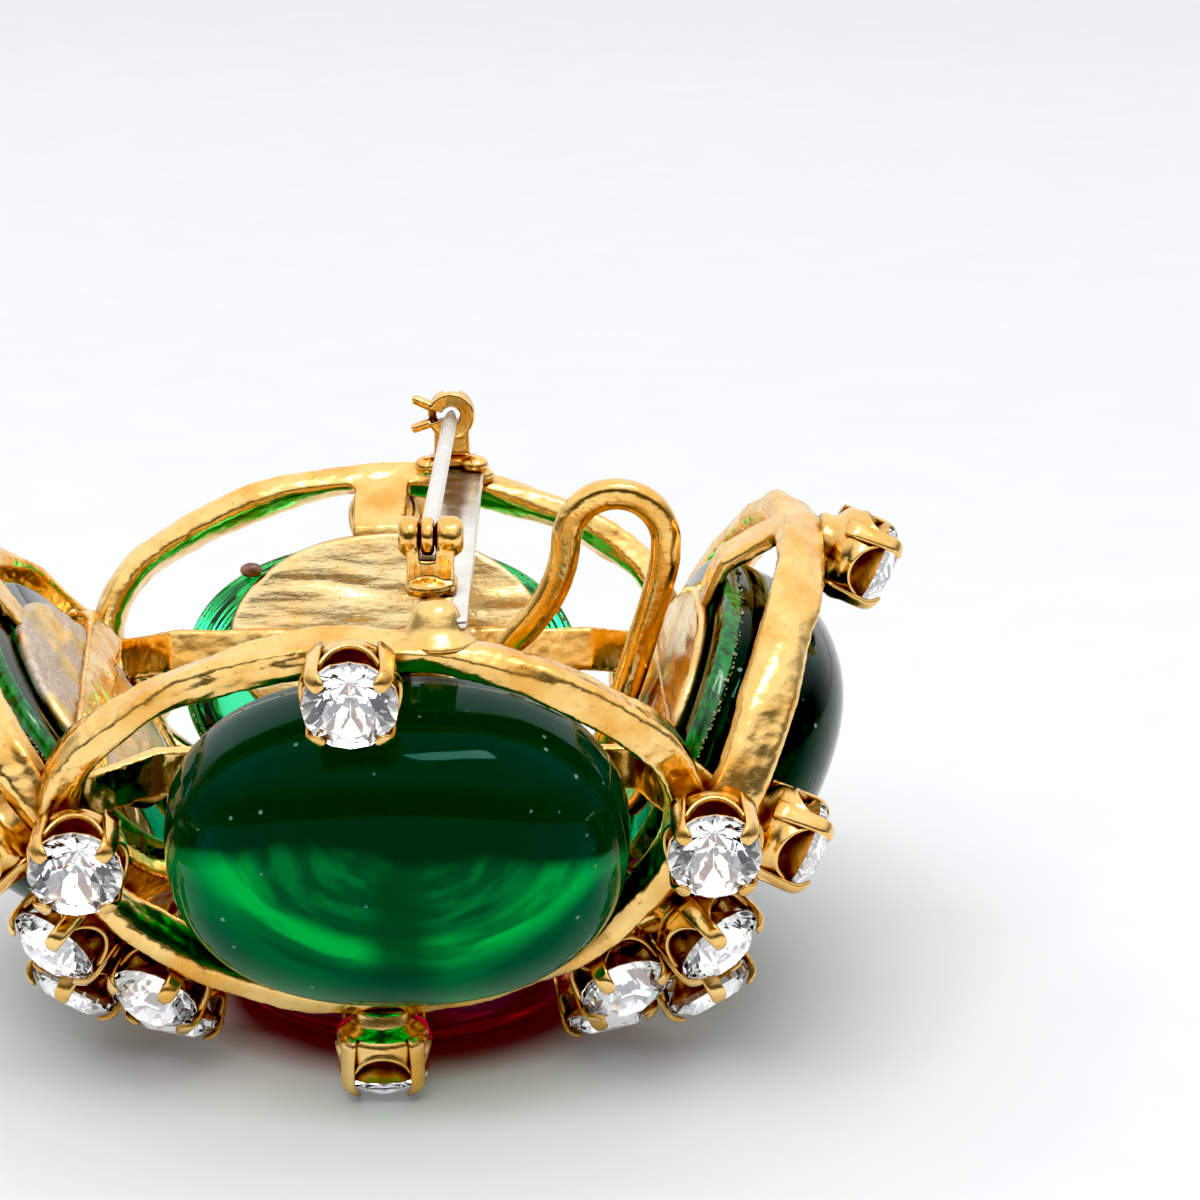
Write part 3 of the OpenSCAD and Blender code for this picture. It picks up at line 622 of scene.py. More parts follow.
def base_post(p):
    """Post from the lowest point of the rim down to the base setting."""
    foot = Vector((*p.base, STONE_TOP + BASE_LIFT - 0.9))
    here = petal_turn(p)
    return tube(here @ foot, here @ foot.lerp(rim_foot(p), 0.8), 1.5, 1.35)


print("posts and straps ready")


# %% [markdown]
# The dents are a small node group. Its inputs are the size of the big and the small
# dents, as noise scales, and their depths in millimetres. All node groups here start
# and end alike, so two helpers build their inputs and their last nodes.


# %% Geometry Nodes: the hammer
def modifier_tree(name, inputs):
    """A geometry tree with named inputs, and the outputs of its input node."""
    tree = bpy.data.node_groups.new(name, "GeometryNodeTree")
    tree.is_modifier = True
    for label, kind, value in [("Geometry", "Geometry", None), *inputs,
                               ("Finish", "Material", None)]:
        socket = tree.interface.new_socket(label, in_out="INPUT", socket_type="NodeSocket" + kind)
        if value is not None:
            socket.default_value = value
    tree.interface.new_socket("Geometry", in_out="OUTPUT", socket_type="NodeSocketGeometry")
    return tree, tree.nodes.new("NodeGroupInput").outputs


def dressed(tree, start, geometry, **more):
    """Realizes what the tree has made, gives it the finish and hands it out."""
    plain = add(tree, "GeometryNodeRealizeInstances", {"Geometry": geometry})
    dress = add(tree, "GeometryNodeSetMaterial",
                {"Geometry": plain.outputs[0], "Material": start["Finish"], **more})
    add(tree, "NodeGroupOutput", {0: dress.outputs[0]})
    return tree


def pushed(tree, start, way, length):
    """The incoming points, each moved along a vector."""
    push = vector_node(tree, "SCALE", {0: way, "Scale": length})
    return add(tree, "GeometryNodeSetPosition",
               {"Geometry": start["Geometry"], "Offset": push[0]}).outputs[0]


def hammer_nodes():
    tree, start = modifier_tree("hammered", [
        ("Big Scale", "Float", 0.22), ("Big Depth", "Float", 0.5),
        ("Small Scale", "Float", 1.1), ("Small Depth", "Float", 0.1), ("Seed", "Float", 0.0)])
    offsets = []
    for size in ("Big", "Small"):
        dents = add(tree, "ShaderNodeTexNoise",
                    {"Scale": start[size + " Scale"], "W": start["Seed"], "Detail": 1.5},
                    noise_dimensions="4D")
        centred = math_node(tree, "SUBTRACT", dents.outputs["Fac"], 0.5)
        offsets.append(times(tree, centred, start[size + " Depth"]))
    normal = add(tree, "GeometryNodeInputNormal").outputs[0]
    return dressed(tree, start, pushed(tree, start, normal, math_node(tree, "ADD", *offsets)))


def with_nodes(obj, tree, values):
    """Adds a node group and sets its inputs by their identifiers."""
    modifier = obj.modifiers.new(tree.name, "NODES")
    modifier.node_group = tree
    ids = {s.name: s.identifier for s in tree.interface.items_tree
           if s.item_type == "SOCKET" and s.in_out == "INPUT"}
    for label, value in values.items():
        if value is not None:
            modifier[ids[label]] = value


hammered = hammer_nodes()
print("hammer inputs:", [s.name for s in hammered.interface.items_tree][1:])


# %% One skin for a soldered piece
def soldered(name, shapes, finish, voxel, big, small, seed, smooth=3, clear=None, **riding):
    """Remeshes shapes that run through each other into one cast skin, and finishes it."""
    obj = solid(name, shapes)
    remesh = obj.modifiers.new("one skin", "REMESH")
    remesh.mode = "VOXEL"
    remesh.voxel_size = voxel
    soft = obj.modifiers.new("solder", "SMOOTH")
    soft.factor, soft.iterations = 0.5, smooth
    with_nodes(obj, hammered, {"Big Depth": big, "Small Depth": small, "Seed": seed,
                               "Finish": finish})
    baked(obj)
    if clear:
        clear(obj.data)
    return finished(obj, [finish], "antique_gold", **riding)


GLASS_ROOM, ROOM_TOP = 0.12, 2.4      # free space round a glass, and up to where


def keep_off_glass(p):
    """Moves the rim's points out of the room that the glass needs."""
    here = petal_frame(p)
    inverse = here.inverted()

    def work(mesh):
        hit = 0
        for v in mesh.vertices:
            q = inverse @ v.co
            if q.z < p.glass + 0.05 or q.z > ROOM_TOP:
                continue
            x, y = (q.x - p.g_w) / (p.g_a + GLASS_ROOM), (q.y - p.g_q) / (p.g_b + GLASS_ROOM)
            size = (abs(x) ** GLASS_POWER + abs(y) ** GLASS_POWER) ** (1 / GLASS_POWER)
            if 0.6 < size < 1:
                q.x, q.y = p.g_w + (q.x - p.g_w) / size, p.g_q + (q.y - p.g_q) / size
                v.co = here @ q
                hit += 1
        print("   points moved off the glass:", hit)
    return work


for number, (name, p) in enumerate(PETALS.items()):
    here = petal_frame(p)
    deep = BAND_D + (0.35 if name == "right" else 0.55)
    shapes = [moved(s, here) for s in (bar_ring(p, BAND_W + 0.5, deep, 0.05, 0.34),
                                       cross_strap(p), upright(p, 1), upright(p, -1))]
    shapes += [blob(here @ Vector((w, q, 1.1)), (1.9, 1.9, 1.5)) for w, q in p.stones]
    shapes.append(base_post(p))
    soldered("rim_" + name, shapes, gold_cast, voxel=0.215, big=0.6, small=0.2,
             seed=3.0 * number, clear=keep_off_glass(p), stands_for=["frame_" + name])


# %% [markdown]
# ## The oval plates
# Each plate is a thin oval with a softly worn edge and low ridges across it. The
# ridges are real geometry, so that they show in the outline of the highlights, and
# the finer marks are left to the material.


# %% Plates behind the glass
WORN_EDGE = [(0.985, 0.08), (1.0, 0.35), (1.0, 0.6), (0.985, 0.86), (0.95, 0.9), (0.5, 0.9),
             (0.05, 0.9)]


def plate(p, seed):
    """Rings from the middle of the ridged face, over the edge, to the middle of the other."""
    rings = []
    for size, depth in [(k / 32, 0) for k in range(1, 32)] + WORN_EDGE:
        ring = []
        for t in around(168):
            rag = 1 + 0.007 * noise.noise(Vector((3 * cos(t), 3 * sin(t), seed)))
            x, y = PLATE_A * size * rag * cos(t), PLATE_B * size * rag * sin(t)
            bend = 0.5 * noise.noise(Vector((0.25 * x, 0.25 * y, seed + 9)))
            ridge = 0 if depth else 0.17 * noise.noise(Vector((0.17 * x, 0.95 * y + bend, seed)))
            ring.append((p.plate_w + x, p.plate_q + y,
                         p.glass - PLATE_GAP - PLATE_T + depth + ridge))
        rings.append(ring)
    return moved(skin(rings), petal_frame(p))


plate_finish = {"front": gold_plate_x, "back": gold_plate_x,
                "right": gold_plate_y, "left": gold_patina}
for number, (name, p) in enumerate(PETALS.items()):
    finished(solid("plate_" + name, [plate(p, 7.0 * number)]), [plate_finish[name]],
             "antique_gold")

# %% [markdown]
# ## Settings and foils, thirty-two times
# A setting is a little cup with four arched openings and four claws bent over the
# stone. It is drawn once. Geometry Nodes then put it on every seat: a mesh of single
# points carries each seat's turn, the tree instances the setting there, realizes it
# and sets the material. The foil behind each stone uses the same tree.

# %% Seats of the stones
LEFT_CORNER = [((22.2, 19.3, 12.0), (0.56, 0.62, -0.55)), ((15.6, 18.2, 7.6), (0.34, 0.72, -0.60)),
               ((21.6, 14.2, 6.8), (0.47, 0.35, -0.81)), ((14.9, 12.0, 3.6), (0.20, 0.42, -0.88))]
RIGHT_CORNER = [((23.7, 19.3, 11.5), (0.60, 0.60, -0.52)), ((17.2, 18.4, 8.0), (0.28, 0.75, -0.60)),
                ((23.3, 14.2, 6.2), (0.48, 0.35, -0.80)), ((16.4, 12.2, 3.6), (0.22, 0.42, -0.88))]
GIRDLE_Z = 4.7
BACK_SHIFT = 1.0


def toward(direction):
    """Turn of a setting: its axis along the direction, as turns about Y and then Z."""
    x, y, z = direction
    size = sqrt(x * x + y * y + z * z)
    return turned("Z", degrees(atan2(y, x))) @ turned("Y", degrees(acos(z / size)))


def corner_seat(k, sx, sy):
    place, way = (RIGHT_CORNER if sx > 0 else LEFT_CORNER)[k]
    centre = Vector((place[0] * sx, place[1] * sy - (BACK_SHIFT if sy > 0 else 0), place[2]))
    axis = Vector((way[0] * sx, way[1] * sy, way[2])).normalized()
    return Matrix.Translation(SHIFT + centre - GIRDLE_Z * axis) @ toward(axis)


def petal_seats(p):
    seats = [petal_frame(p) @ Matrix.Translation((w, q, BAND_D / 2 - 0.1)) for w, q in p.stones]
    seats.append(petal_turn(p) @ Matrix.Translation((*p.base, STONE_TOP + BASE_LIFT))
                 @ turned("X", 180))
    return seats


CORNERS = {"front_left": (-1, -1), "front_right": (1, -1),
           "back_right": (1, 1), "back_left": (-1, 1)}
petal_places = [m for p in PETALS.values() for m in petal_seats(p)]
corner_places = [corner_seat(k, *signs) for signs in CORNERS.values() for k in range(4)]
print("seats:", len(petal_places), "on the petals and", len(corner_places), "in the corners")


# %% One setting
def claw(angle):
    """A flat claw from the cup over the stone's crown, with a rounded end."""
    line = [(3.30, 1.5), (3.36, 2.4), (3.40, 3.3), (3.44, 4.1), (3.46, 4.75), (3.42, 5.15),
            (3.28, 5.47), (3.02, 5.72), (2.76, 5.90), (2.56, 6.02)]
    widths = [1.5, 1.42, 1.34, 1.28, 1.24, 1.22, 1.18, 1.12, 0.98, 0.62]
    thick = [0.42, 0.46, 0.48, 0.50, 0.50, 0.50, 0.48, 0.44, 0.38, 0.22]
    rings = []
    for k, (r, z) in enumerate(line):
        a, b = line[max(k - 1, 0)], line[min(k + 1, len(line) - 1)]
        along = Vector((b[0] - a[0], b[1] - a[1])).normalized()
        side = Vector((along.y, -along.x))
        rings.append([(r + v * side.x, u, z + v * side.y)
                      for u, v in rounded(widths[k], thick[k], 2.8, 14)])
    return moved(skin(rings), turned("Z", angle))


def cup():
    """Cup whose rim dips in four arches, with a rolled edge."""
    columns = []
    for t in around(80):
        near = (degrees(t) + 45) % 90 - 45
        across = 3.3 * sin(radians(near))
        dip = 4.9 - sqrt(max(4 - across * across, 0)) if abs(across) < 2 else 9.0
        rim = min(dip, 4.3)
        line = [(2.0, 0.0), (2.15, 0.25), (2.12, 0.9), (2.5, 1.25), (3.0, 1.55), (3.26, 1.9),
                (3.30, min(2.3, rim - 0.5)), (3.30, rim - 0.42), (3.42, rim - 0.26),
                (3.44, rim - 0.08), (3.30, rim + 0.04), (3.02, rim), (2.86, rim - 0.2),
                (2.84, 1.9), (2.0, 1.7)]
        columns.append([(r * cos(t), r * sin(t), z) for r, z in line])
    return skin(list(zip(*columns)))


setting_mesh = shell("setting", [cup()] + [claw(a) for a in (45, 135, 225, 315)])
print("one setting:", len(setting_mesh.polygons), "faces")


# %% One foil: silver inside with a painted glow, bronze lacquer outside
def foil():
    def ring(r, z, count):
        return [(r * cos(t), r * sin(t), z) for t in around(count)]
    inner = ring(3.17, 4.68, 16) + ring(1.27, 2.984, 8) + [(0, 0, 2.07)]
    outer = ring(3.25, 4.68, 16) + ring(1.35, 2.90, 8) + [(0, 0, 1.95)]
    faces, kinds = [], []
    for side, s in enumerate((0, len(inner))):
        for k in range(8):
            k2 = (k + 1) % 8
            tris = [(s + 2 * k, s + 16 + k, s + 2 * k + 1),
                    (s + 2 * k + 1, s + 16 + k, s + 16 + k2),
                    (s + 2 * k + 1, s + 16 + k2, s + (2 * k + 2) % 16),
                    (s + 16 + k, s + 24, s + 16 + k2)]
            faces += [t if side == 1 else t[::-1] for t in tris]
            kinds += [side] * 4
    for k in range(16):
        k2 = (k + 1) % 16
        faces.append((k, k2, 25 + k2, 25 + k))
        kinds.append(1)
    return inner + outer, faces, kinds


foil_verts, foil_faces, foil_kinds = foil()
foil_mesh = new_mesh("foil", (foil_verts, foil_faces))
for finish in (foil_silver_painted_glow, foil_bronze):
    foil_mesh.materials.append(finish)
for face, kind in zip(foil_mesh.polygons, foil_kinds):
    face.material_index = kind
print("one foil:", len(foil_faces), "faces")


# %% Geometry Nodes: a copy on every seat
def seat_nodes():
    tree, start = modifier_tree("on_every_seat", [
        ("Copy", "Object", None), ("Own Finish", "Bool", None)])
    thing = add(tree, "GeometryNodeObjectInfo", {"Object": start["Copy"]})
    turn = add(tree, "GeometryNodeInputNamedAttribute", {"Name": "turn"}, data_type="FLOAT_VECTOR")
    points = add(tree, "GeometryNodeInstanceOnPoints",
                 {"Points": start["Geometry"], "Instance": thing.outputs["Geometry"],
                  "Rotation": turn.outputs["Attribute"]})
    return dressed(tree, start, points.outputs[0], Selection=start["Own Finish"])


on_seats = seat_nodes()


def on_every_seat(name, copy_mesh, places, finish=None):
    """A copy of the mesh at each place, as one plain mesh."""
    source = bpy.data.objects.new(name + "_source", copy_mesh)
    mesh = new_mesh(name, ([m.translation for m in places], []))
    turn = mesh.attributes.new("turn", "FLOAT_VECTOR", "POINT")
    for k, m in enumerate(places):
        turn.data[k].vector = m.to_euler("XYZ")
    obj = placed(name, mesh)
    with_nodes(obj, on_seats, {"Copy": source, "Own Finish": finish is not None,
                               "Finish": finish})
    baked(obj)
    bpy.data.objects.remove(source)
    return obj


for name, places, replaced in (
        ("settings_petals", petal_places, ()),
        ("settings_corners", corner_places, ["cluster_" + c for c in CORNERS])):
    obj = on_every_seat(name, setting_mesh, places, gold_setting)
    finished(obj, [gold_setting], "antique_gold", stands_for=replaced)
# The silver side of every foil glows a little as painted light.
foils = on_every_seat("stone_foils", foil_mesh, petal_places + corner_places)
finished(foils, [foil_silver_painted_glow, foil_bronze], "crystal", smooth=False,
         kinds=[f.material_index for f in foils.data.polygons])

# %% The cut stones keep their solids and get the crystal finish
for name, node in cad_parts.items():
    if name.startswith("stone_"):
        node.data.materials.clear()
        node.data.materials.append(crystal)
print("stones:", sum(n.startswith("stone_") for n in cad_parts))


# %% [markdown]
# ## Links and blobs of the corner clusters, and the plate over the red glass
# Under each corner four settings hang on short links of wire, run full of solder.
# The plate over the red glass has four struts to the rims. Both are soldered pieces
# again, a little rougher than the rims because nobody sees them when it is worn.


# %% Corner links
def along_axis(k, sx, sy, h):
    return corner_seat(k, sx, sy) @ Vector((0, 0, h))


RED_X, RED_TOP, RED_R = 1.8, 7.35, 13.8
MOUNT_Z, MOUNT_T, MOUNT_R = RED_TOP + 0.1, 1.2, 12.4

for corner, (sx, sy) in CORNERS.items():
    shapes = [tube(along_axis(a, sx, sy, 1.5), along_axis(b, sx, sy, 1.5), 1.0, 1.05)
              for a, b in ((0, 1), (0, 2), (1, 3), (2, 3))]
    inner = SHIFT + Vector((RED_X + 8.8 * sx, 8.2 * sy, MOUNT_Z + MOUNT_T + 1.7))
    shapes.append(tube(along_axis(3, sx, sy, 0.6), inner, 1.0, 1.1))
    shapes += [blob(along_axis(k, sx, sy, 1.2), (1.7, 1.6, 1.3)) for k in range(4)]
    soldered("links_" + corner, shapes, gold_cast, voxel=0.17, big=0.35, small=0.16,
             seed=sx + 5 * sy)

# %% Plate and struts over the red glass
shapes = [tube(SHIFT + Vector((RED_X, 0, MOUNT_Z)), SHIFT + Vector((RED_X, 0, MOUNT_Z + MOUNT_T)),
               MOUNT_R, count=96)]
for p in PETALS.values():
    x, y, z = rim_foot(p)
    end = Vector((x - 1.2, y, max(z, MOUNT_Z + 1.2))) + Vector((0.9, 0, 0.2))
    shapes.append(tube(petal_turn(p) @ Vector((9, 0, MOUNT_Z + 1.2)), petal_turn(p) @ end, 1.2))
soldered("mount_centre", shapes, gold_cast, voxel=0.24, big=0.3, small=0.14, seed=21.0,
         stands_for=["centre_mount"])


# %% [markdown]
# ## Glass cabochons
# A cabochon starts with a narrow skirt, straight and a little smaller, which sits on
# the plate. Above it the dome swells over the skirt and closes in a full, flat top.
# Its outline is fuller than an oval. The skirt of a side glass is backed with foil
# and lacquer, so it is opaque and bright green. The whole back of the front glass is
# an opaque sheet of painted light and shade, and that of the red one has a foil that
# glows a little, as painted light.


# %% A cabochon
ROUND = 128          # points round a cabochon
DOME_FROM = 2.0      # height of the widest level, where the dome starts
SKIRT = 1.15         # height of the skirt
STEPS = 34           # rings of the dome


def fullness(t, power):
    """How far an outline that is fuller than an oval reaches at an angle."""
    return (abs(cos(t)) ** power + abs(sin(t)) ** power) ** (-1 / power)


def cabochon(a, b, height, power, corner_power, last=88.4):
    """A glass of half sizes a and b, and the number of faces in its back and skirt."""
    levels = [(0.05, 0.0), (0.5, 0.0), (0.93, 0.0), (0.958, 0.14), (0.963, 0.6), (0.963, SKIRT)]
    back_faces = ROUND * (len(levels) - 1)
    levels += [(0.972, SKIRT + 0.12), (0.992, SKIRT + 0.45), (1.0, DOME_FROM)]
    top = sin(radians(last))
    for k in range(1, STEPS + 1):
        f = radians(last * k / STEPS)
        rise = (sin(f) / top) ** (2 / power)
        levels.append((cos(f) ** (2 / power), DOME_FROM + (height - DOME_FROM) * rise))
    rings = []
    for size, z in levels:
        ring = []
        for t in around(ROUND):
            o = fullness(t, corner_power)
            x, y = a * size * o * cos(t), b * size * o * sin(t)
            dip = 0.05 * noise.noise(Vector((0.12 * x, 0.12 * y, 0.12 * z))) if z > 2.5 else 0
            ring.append((x, y, z + dip))
        rings.append(ring)
    return skin(rings), back_faces


def glass_piece(name, place, shape, finishes, slot, node, back_from=0):
    """finishes: the glass, and its back or skirt, which starts at the face back_from."""
    shape, back_to = shape
    obj = solid(name, [moved(shape, place)])
    cap = len(obj.data.polygons) - 2
    kinds = [int(back_from <= k < back_to or (back_from == 0 and k == cap))
             for k in range(cap + 2)]
    finished(obj, finishes, slot, stands_for=[node], kinds=kinds)


# The back of the front glass is the sheet of painted light and shade.
GREENS = {"front": (green_glass, green_painted_light, 0), "right": (green_deep, green_skirt, 2 * ROUND),
          "back": (green_clear, green_clear, 0), "left": (green_deep, green_skirt, 2 * ROUND)}
for name, p in PETALS.items():
    place = petal_frame(p) @ Matrix.Translation((p.g_w, p.g_q, p.glass))
    *finishes, start = GREENS[name]
    glass_piece("glass_" + name, place, cabochon(p.g_a, p.g_b, CAB_H, 2.9, GLASS_POWER),
                finishes, "green_glass", "cabochon_" + name, back_from=start)
# The red glass's back is a foil with a little painted glow.
place = Matrix.Translation(SHIFT + Vector((RED_X, 0, RED_TOP))) @ turned("X", 180)
glass_piece("glass_centre", place, cabochon(RED_R, RED_R, RED_TOP, 3.2, 2.0, last=79.0),
            (red_glass, red_foil_painted_glow), "red_glass", "cabochon_centre")
print("five cabochons")

# %% [markdown]
# ## The hook
# The hook is a wire, rolled a little flat, that leaves the right plate, turns over in
# a round loop and ends in a free tail. A sweep follows the same path as the solid.


# %% Hook
def wire_path():
    leg = [(16.1, 18.6), (16.9, 20.8), (18.1, 24.4), (19.0, 27.4), (20.0, 30.7), (20.75, 33.6)]
    tail = [(13.55, 34.8), (13.3, 33.4), (12.6, 31.4), (11.2, 29.4), (8.9, 26.9)]
    loop = [(17.2 + 3.65 * cos(radians(a)), 35.2 + 3.65 * sin(radians(a)))
            for a in range(-6, 181, 6)]
    return leg + loop + tail


def smooth_line(points, rounds):
    """Corner cutting that keeps both ends."""
    pts = [np.array(q, float) for q in points]
    for _ in range(rounds):
        new = [pts[0]]
        for a, b in zip(pts, pts[1:]):
            new += [0.75 * a + 0.25 * b, 0.25 * a + 0.75 * b]
        pts = new + [pts[-1]]
    return pts


def swept(points, section, y):
    """Sweeps a section along a path in the XZ plane; u lies in the plane and v across it."""
    rings = []
    for k, q in enumerate(points):
        a, b = points[max(k - 1, 0)], points[min(k + 1, len(points) - 1)]
        along = (b - a) / np.linalg.norm(b - a)
        rings.append([(q[0] + u * along[1], y + v, q[1] - u * along[0]) for u, v in section(k)])
    return skin(rings)


line = smooth_line(wire_path(), rounds=2)


def wire_section(k):
    """The wire is thinner at both ends."""
    end = min(k, len(line) - 1 - k)
    size = min(1.0, 0.6 + 0.1 * end)
    return rounded(2.2 * size, 2.0 * size, 3.0)


hook_shape = moved(swept(line, wire_section, -0.3), Matrix.Translation(SHIFT))
soldered("hook_wire", [hook_shape], gold_wire, voxel=0.14, big=0.18, small=0.05, seed=40.0,
         stands_for=["hook"])

# %% [markdown]
# ## The pin group
# A flat pale bar is soldered on the front and back rims. Near its front end the stem
# turns in a barrel of three round knuckles on a small fork, and at its back end a
# collar with two ears turns in a ring and locks the stem's tip. All of it is drawn
# in the bar's own frame: Y along the bar and Z up from it.

# %% The bar's frame and its small parts
BAR = (Matrix.Translation(SHIFT) @ Matrix.Translation((4.85, -24.6, 36.0))
       @ turned("Z", -1.2) @ turned("X", -2.5))
BAR_L, BAR_W, BAR_T = 50.1, 3.4, 0.8
SUNK = BAR_T - 0.1                # small parts start a little inside the bar
EDGE = 0.12                       # how far the edges of small parts are softened
JOINT_X, JOINT_Y, JOINT_Z = -1.4, 7.6, 4.68
CATCH = Vector((-0.83, 48.9, 5.08))


def slab(low, high, e=EDGE):
    """A box with softened long edges."""
    (x0, y0, z0), (x1, y1, z1) = low, high

    def end(x, g):
        return [(x, y0 + e + g, z0 + g), (x, y1 - e - g, z0 + g), (x, y1 - g, z0 + e + g),
                (x, y1 - g, z1 - e - g), (x, y1 - e - g, z1 - g), (x, y0 + e + g, z1 - g),
                (x, y0 + g, z1 - e - g), (x, y0 + g, z0 + e + g)]
    return skin([end(x0, e), end(x0 + e, 0), end(x1 - e, 0), end(x1, e)])


def knuckle(x0, x1, r, soft, bore=0.0):
    """A round barrel on the joint's axis with rounded ends, and a bore if one is wanted."""
    end = [(0, max(r - soft, bore + 0.05)), (0.3 * soft, r - 0.45 * soft),
           (0.75 * soft, r - 0.1 * soft), (1.1 * soft, r)]
    line = [(x0 + d, rad) for d, rad in end] + [(x1 - d, rad) for d, rad in reversed(end)]
    if bore:
        line += [(x1, bore), (x0, bore)]
    rings = [[(x, JOINT_Y + rad * cos(t), JOINT_Z + rad * sin(t)) for t in around(40)]
             for x, rad in line]
    return skin(rings, wrap=bool(bore))


bar = slab((-BAR_W / 2, 0, 0), (BAR_W / 2, BAR_L, BAR_T), 0.16)
finished(solid("pin_plate", [moved(bar, BAR)]), [pale_metal], "silver_metal",
         stands_for=["pin_bar"])
print("bar from", [round(v, 1) for v in BAR @ Vector((0, 0, 0))])

# %% Joint and catch body
EYE, LEFT, RIGHT = 1.0, 1.5, 1.95      # widths of the eye and of the knuckles beside it
left_x = JOINT_X - EYE / 2 - LEFT + 0.25
mid_x = left_x + LEFT
right_x = mid_x + EYE
joint = [knuckle(left_x, mid_x, 1.38, 0.55), knuckle(right_x, right_x + RIGHT, 1.38, 0.6),
         knuckle(left_x + 0.3, right_x + RIGHT - 0.3, 0.44, 0.1)]
for x0, x1, half, z0, z1, edge in (
        (left_x + 0.6, mid_x - 0.05, 1.2, SUNK, JOINT_Z - 0.5, EDGE),
        (right_x + 0.05, right_x + 1.3, 1.2, SUNK, JOINT_Z - 0.5, EDGE),
        (mid_x - 0.1, right_x + 0.1, 1.1, BAR_T, 3.2, EDGE),
        (left_x + 0.5, left_x + 4.0, 1.45, SUNK, BAR_T + 1.1, 0.3)):
    joint.append(slab((x0, JOINT_Y - half, z0), (x1, JOINT_Y + half, z1), edge))
joint = [moved(s, BAR) for s in joint]
joint.append(blob(BAR @ Vector((mid_x + 0.5, JOINT_Y - 1.3, BAR_T + 0.5)), (1.4, 0.9, 0.7)))
soldered("pin_joint", joint, gold_wire, voxel=0.11, big=0.12, small=0.06, seed=50.0, smooth=2)


def ring_y(start, end, outer, inner, gap_from, gap_to):
    """A ring on the catch's axis, open between two angles."""
    y0, y1 = CATCH.y + start, CATCH.y + end
    rings = []
    for a in np.linspace(gap_to, gap_from + 360, 48):
        c, s = cos(radians(a)), sin(radians(a))
        rings.append([(CATCH.x + r * c, y, CATCH.z + r * s)
                      for r, y in ((inner, y0), (outer - EDGE, y0), (outer, y0 + EDGE),
                                   (outer, y1 - EDGE), (outer - EDGE, y1), (inner, y1))])
    return skin(rings)


catch = [ring_y(0, 1.2, 1.85, 1.22, 70, 110)]
for x0, x1, y0, y1, z1, edge in (
        (-1.4, -0.7, 0.02, 1.18, CATCH.z - 1.3, EDGE), (0.7, 1.4, 0.02, 1.18, CATCH.z - 1.3, EDGE),
        (-0.9, 0.9, 0.02, 1.18, CATCH.z - 1.75, EDGE), (-2.0, 2.2, -1.0, 1.2, BAR_T + 0.9, 0.3)):
    catch.append(slab((CATCH.x + x0, CATCH.y + y0, SUNK), (CATCH.x + x1, CATCH.y + y1, z1), edge))
catch = [moved(s, BAR) for s in catch]
for x, y, size in ((-1.9, -1.6, (1.0, 1.2, 0.8)), (1.9, -1.4, (1.1, 1.1, 0.8))):
    catch.append(blob(BAR @ Vector((CATCH.x + x, CATCH.y + y, BAR_T + 0.4)), size))
soldered("catch_body", catch, gold_wire, voxel=0.11, big=0.14, small=0.08, seed=55.0, smooth=2)

# %% Solder over the bar's front end
DOME = [(0.02, 1.98), (0.6, 1.92), (1.1, 1.66), (1.48, 1.22), (1.72, 0.65), (1.92, 0.15),
        (2.3, -0.35), (2.7, -0.75), (2.8, -1.1), (0.02, -1.15)]
end_blob = blob(BAR @ Vector((0.6, BAR_L - 0.9, 0.0)), (2.0, 1.3, 0.9))
soldered("solder_dome", [moved(lathe(DOME, 40, -0.4, 0.9), BAR), end_blob], gold_cast,
         voxel=0.16, big=0.2, small=0.06, seed=60.0)

# %% The stem turns on its own body
JOINT_MID = JOINT_X + 0.25
STEM = [(0.01, 1.35), (0.45, 1.4), (0.60, 1.7), (0.62, 2.4), (0.60, 12), (0.58, 25), (0.56, 37.5),
        (0.50, 39), (0.38, 40.4), (0.24, 41.4), (0.12, 41.75), (0.01, 41.8)]
stem_place = (BAR @ Matrix.Translation((JOINT_MID, JOINT_Y, JOINT_Z))
              @ turned("Z", -0.45) @ turned("X", 0.57 - 90))
finished(solid("stem", [moved(lathe(STEM, 24), stem_place)]), [pale_metal], "silver_metal",
         body="pin", stands_for=["pin_stem"])
eye_part = moved(knuckle(JOINT_MID - 0.44, JOINT_MID + 0.44, 1.31, 0.25, 0.52), BAR)
neck = moved(slab((-0.42, -0.52, 0.85), (0.42, 0.52, 1.8), 0.1), stem_place)
finished(solid("stem_eye", [eye_part, neck]), [gold_wire], "antique_gold", body="pin")

# %% The collar turns on its own body
collar = [moved(ring_y(-1.3, -0.1, 1.85, 0.74, 162, 200), BAR),
          moved(ring_y(-0.5, 1.25, 1.14, 0.74, 145, 217), BAR)]
for a in (24, -20):
    here = Matrix.Translation((CATCH.x, CATCH.y - 1.15, CATCH.z)) @ turned("Y", a)
    collar.append(moved(slab((-3.35, -0.05, -0.36), (-1.5, 1.05, 0.36), 0.2), BAR @ here))
soldered("collar", collar, gold_wire, voxel=0.09, big=0.05, small=0.04, seed=70.0, smooth=2,
         body="catch", stands_for=["catch_collar"])

# %% [markdown]
# ## Crust and drops
# Old glue stands in crumbs along the seam between skirt and dome, and a few brown
# drops of flux sit by the hook's foot and on the back plate. Crumbs are many and
# follow a curve, so Geometry Nodes scatter them: points along the seam get a
# little random size and turn, with a fixed seed.


